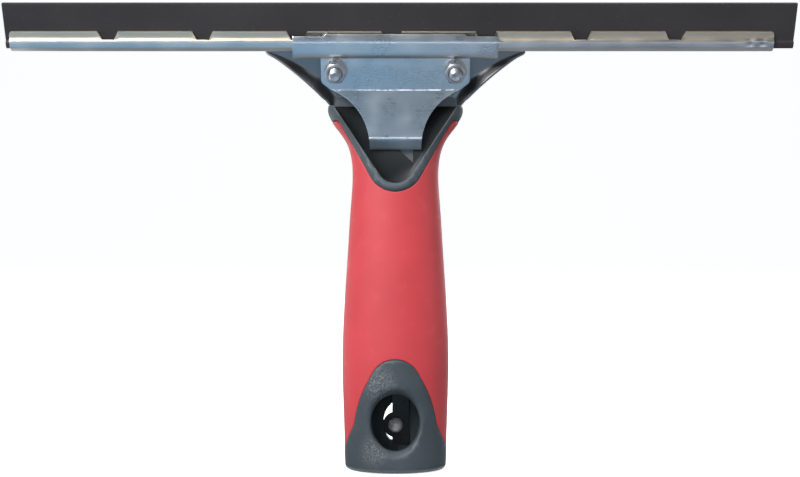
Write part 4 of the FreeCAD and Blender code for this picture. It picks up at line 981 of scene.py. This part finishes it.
def sky_card():
    """A blue sky's glow that turns greyer to the right, a bright strip across it, and behind the tool
    grey with a bright left side."""
    paint = Paint("sky_glow", Base_Color=(0, 0, 0), Specular_IOR_Level=0.0)
    sides, depth, _ = paint.axes()
    cloud = paint.grain(4, 3)
    right = paint.above(sides + (cloud - 0.5) * 0.12, -0.05, 0.10)
    glow = paint.mix(right, (0.22, 0.42, 0.62), (0.30, 0.40, 0.50))
    behind = paint.above(depth, -0.07, -0.03)
    glow = paint.mix(behind, glow, (0.30, 0.32, 0.34))
    far = paint.above(sides + (cloud - 0.5) * 0.05, 0.055, 0.10)
    glow = paint.mix(far * (1 - behind), glow, (0.17, 0.21, 0.29))
    edge = paint.above(-1 * sides, 0.20, 0.27) * paint.above(depth, -0.05, 0.05)
    glow = paint.mix(edge, glow, (2.4, 2.4, 2.4))
    strip = paint.above(depth, -0.42, -0.38) * paint.above(-1 * depth, 0.31, 0.35)
    glow = paint.mix(strip, glow, (3.0, 3.1, 3.2))
    paint.feed({paint.shader.inputs["Emission Color"]: glow, paint.shader.inputs["Emission Strength"]: 1.0})
    return paint.material


def area_light(name, place, aim, wide_by, tall_by, power, glossy=True):
    """An area light that faces the point it is aimed at; places are in metres."""
    lamp = bpy.data.lights.new(name, "AREA")
    lamp.shape = "RECTANGLE"
    lamp.size, lamp.size_y, lamp.energy = wide_by, tall_by, power
    made = linked(name, lamp)
    made.location = place
    made.rotation_euler = (Vector(aim) - Vector(place)).to_track_quat("-Z", "Y").to_euler()
    made.visible_glossy = glossy


# ---------------- add-on


class Build:
    """What the operators share: each one builds and hands over its pieces."""

    bl_options = {"REGISTER", "UNDO"}

    def execute(self, context):
        self.build(context.scene, context.scene.squeegee_finishes)
        return {"FINISHED"}


class SQUEEGEE_OT_blade(Build, bpy.types.Operator):
    """Build the wiping rubber and its folded channel"""

    bl_idname = "squeegee.blade"
    bl_label = "Blade"

    def build(self, scene, look):
        sizes = scene.squeegee_blade
        hand_over(rubber_piece(sizes), "rubber", "blade_rubber", wiper_rubber(look), "rubber_blade")
        # 0.75 weighs the beige stains on the front lips and the painted shade between the hooks.
        steel = worn_metal("channel_strip_steel", look.channel, 0.24, (0.015, 1, 1), look.wear * 0.8, 0.75)
        hand_over(channel_piece(sizes), "channel", "channel_steel", steel, "blade_channel")


class SQUEEGEE_OT_jaws(Build, bpy.types.Operator):
    """Build the front and rear clamp jaws"""

    bl_idname = "squeegee.jaws"
    bl_label = "Clamp jaws"

    def build(self, scene, look):
        sizes = scene.squeegee_jaws
        # The folds are the heights of the front jaw's two creases, which get a painted highlight.
        plated = worn_metal("plated_jaw_steel", look.jaw, 0.22, (0.03, 1, 1), look.wear,
                            folds=(0.1538, 0.1345))
        hand_over(front_jaw_piece(sizes), "front_jaw", "jaw_steel", plated, "front_jaw")
        # The rear jaw is the jaw plating painted at 0.4 brightness, as painted shade behind the front jaw; it
        # is also rougher.
        dull = worn_metal("shaded_dull_jaw_steel", shade(look.jaw, 0.40), 0.30, (0.03, 1, 1), look.wear)
        hand_over(rear_jaw_piece(sizes), "root", "jaw_steel", dull, "rear_jaw")


class SQUEEGEE_OT_fasteners(Build, bpy.types.Operator):
    """Build the clamp bolts, nuts and split washers"""

    bl_idname = "squeegee.fasteners"
    bl_label = "Fasteners"

    def build(self, scene, look):
        sizes = scene.squeegee_fasteners
        metal = clean_metal("plated_fastener_steel", look.fastener, 0.34)
        for side in ("left", "right"):
            low, high = cad_box("clamp_nut_" + side)
            x = (low[0] + high[0]) / 2
            for shape, body, node in ((bolt_piece, "root", "clamp_bolt_"),
                                      (nut_piece, "nut_" + side, "clamp_nut_"),
                                      (washer_piece, "washer_" + side, "lock_washer_")):
                hand_over(shape(sizes, side, x), body, "fastener_steel", metal, node + side)


class SQUEEGEE_OT_handle(Build, bpy.types.Operator):
    """Build the moulded core and its soft grip"""

    bl_idname = "squeegee.handle"
    bl_label = "Handle"

    def build(self, scene, look):
        sizes = scene.squeegee_handle
        hand_over(core_piece(), "root", "core_plastic", moulded_core(look), "handle_core")
        hand_over(grip_piece(sizes), "root", "grip_rubber", soft_grip(look), "grip_sleeve")


class SQUEEGEE_OT_lock(Build, bpy.types.Operator):
    """Build the leaf spring, its ball and the rivets"""

    bl_idname = "squeegee.lock"
    bl_label = "Lock"

    def build(self, scene, look):
        leaf = spring_piece()
        leaf.data.materials.append(clean_metal("blackened_spring_steel", look.spring, 0.42))
        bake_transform(leaf)
        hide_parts("lock_spring")
        polished = clean_metal("polished_ball_steel", look.ball, 0.30, 0.55)
        hand_over(ball_piece(), "lock_ball", "ball_steel", polished, "lock_ball")
        rivet = clean_metal("plain_rivet_steel", look.fastener, 0.30)
        hand_over(spring_rivet_piece(), "root", "rivet_steel", rivet, "spring_rivets")
        kept = frame["nodes"]["shank_rivets"]
        kept.data.materials.clear()
        kept.data.materials.append(rivet)


class SQUEEGEE_OT_stage(Build, bpy.types.Operator):
    """Build the paper sweep, the lights and the camera"""

    bl_idname = "squeegee.stage"
    bl_label = "Stage"

    def build(self, scene, look):
        sweep = sweep_piece()
        sweep.data.materials.append(paper())
        sweep.visible_diffuse = False
        centre = (0, 0, 0.10)
        area_light("key", (-0.68, -0.85, 0.80), centre, 0.7, 0.7, 19)
        area_light("top", (0.1, -0.1, 1.2), centre, 1.0, 0.6, 6)
        area_light("front_fill", (-0.1, -0.7, 0.15), centre, 0.25, 0.25, 0.9, glossy=False)
        area_light("back", (0.6, 1.1, 0.7), centre, 0.9, 0.9, 11)
        area_light("side_fill", (0.9, -0.35, 0.30), centre, 0.6, 0.6, 2.3, glossy=False)
        card = card_piece()
        card.data.materials.append(sky_card())
        card.visible_camera = card.visible_diffuse = card.visible_shadow = False
        world = bpy.data.worlds.new("studio")
        scene.world = world
        world.use_nodes = True
        glow = world.node_tree.nodes["Background"].inputs
        glow["Color"].default_value, glow["Strength"].default_value = (0.80, 0.92, 1.0, 1), 0.18
        lens = bpy.data.cameras.new("camera")
        lens.lens, lens.sensor_width = 57.285, 36
        lens.clip_start = 0.01
        camera = linked("camera", lens)
        camera.location = (0.00184, -0.520, 0.0936)
        camera.rotation_euler = (math.pi / 2, 0, 0)
        scene.camera = camera
        scene.view_settings.view_transform = "Standard"


OPERATORS = (SQUEEGEE_OT_blade, SQUEEGEE_OT_jaws, SQUEEGEE_OT_fasteners, SQUEEGEE_OT_handle, SQUEEGEE_OT_lock,
             SQUEEGEE_OT_stage)
GROUPS = {
    "squeegee_blade": SqueegeeBlade,
    "squeegee_jaws": SqueegeeJaws,
    "squeegee_fasteners": SqueegeeFasteners,
    "squeegee_handle": SqueegeeHandle,
    "squeegee_finishes": SqueegeeFinishes,
}


class SQUEEGEE_PT_sidebar(bpy.types.Panel):
    """Sizes, colours and build buttons in the 3D view's sidebar"""

    bl_label = "Window Squeegee"
    bl_idname = "SQUEEGEE_PT_sidebar"
    bl_space_type = "VIEW_3D"
    bl_region_type = "UI"
    bl_category = "Squeegee"

    def draw(self, context):
        for operator in OPERATORS:
            self.layout.operator(operator.bl_idname)
        for key in GROUPS:
            box = self.layout.box()
            group = getattr(context.scene, key)
            for name in group.__annotations__:
                box.prop(group, name)


CLASSES = (*GROUPS.values(), *OPERATORS, SQUEEGEE_PT_sidebar)


def register():
    for kind in CLASSES:
        bpy.utils.register_class(kind)
    for key, group in GROUPS.items():
        setattr(bpy.types.Scene, key, PointerProperty(type=group))


def unregister():
    for key in GROUPS:
        delattr(bpy.types.Scene, key)
    for kind in reversed(CLASSES):
        bpy.utils.unregister_class(kind)


def main():
    register()
    bpy.ops.squeegee.blade()
    bpy.ops.squeegee.jaws()
    bpy.ops.squeegee.fasteners()
    bpy.ops.squeegee.handle()
    bpy.ops.squeegee.lock()
    bpy.ops.squeegee.stage()


if __name__ == "__main__":
    main()
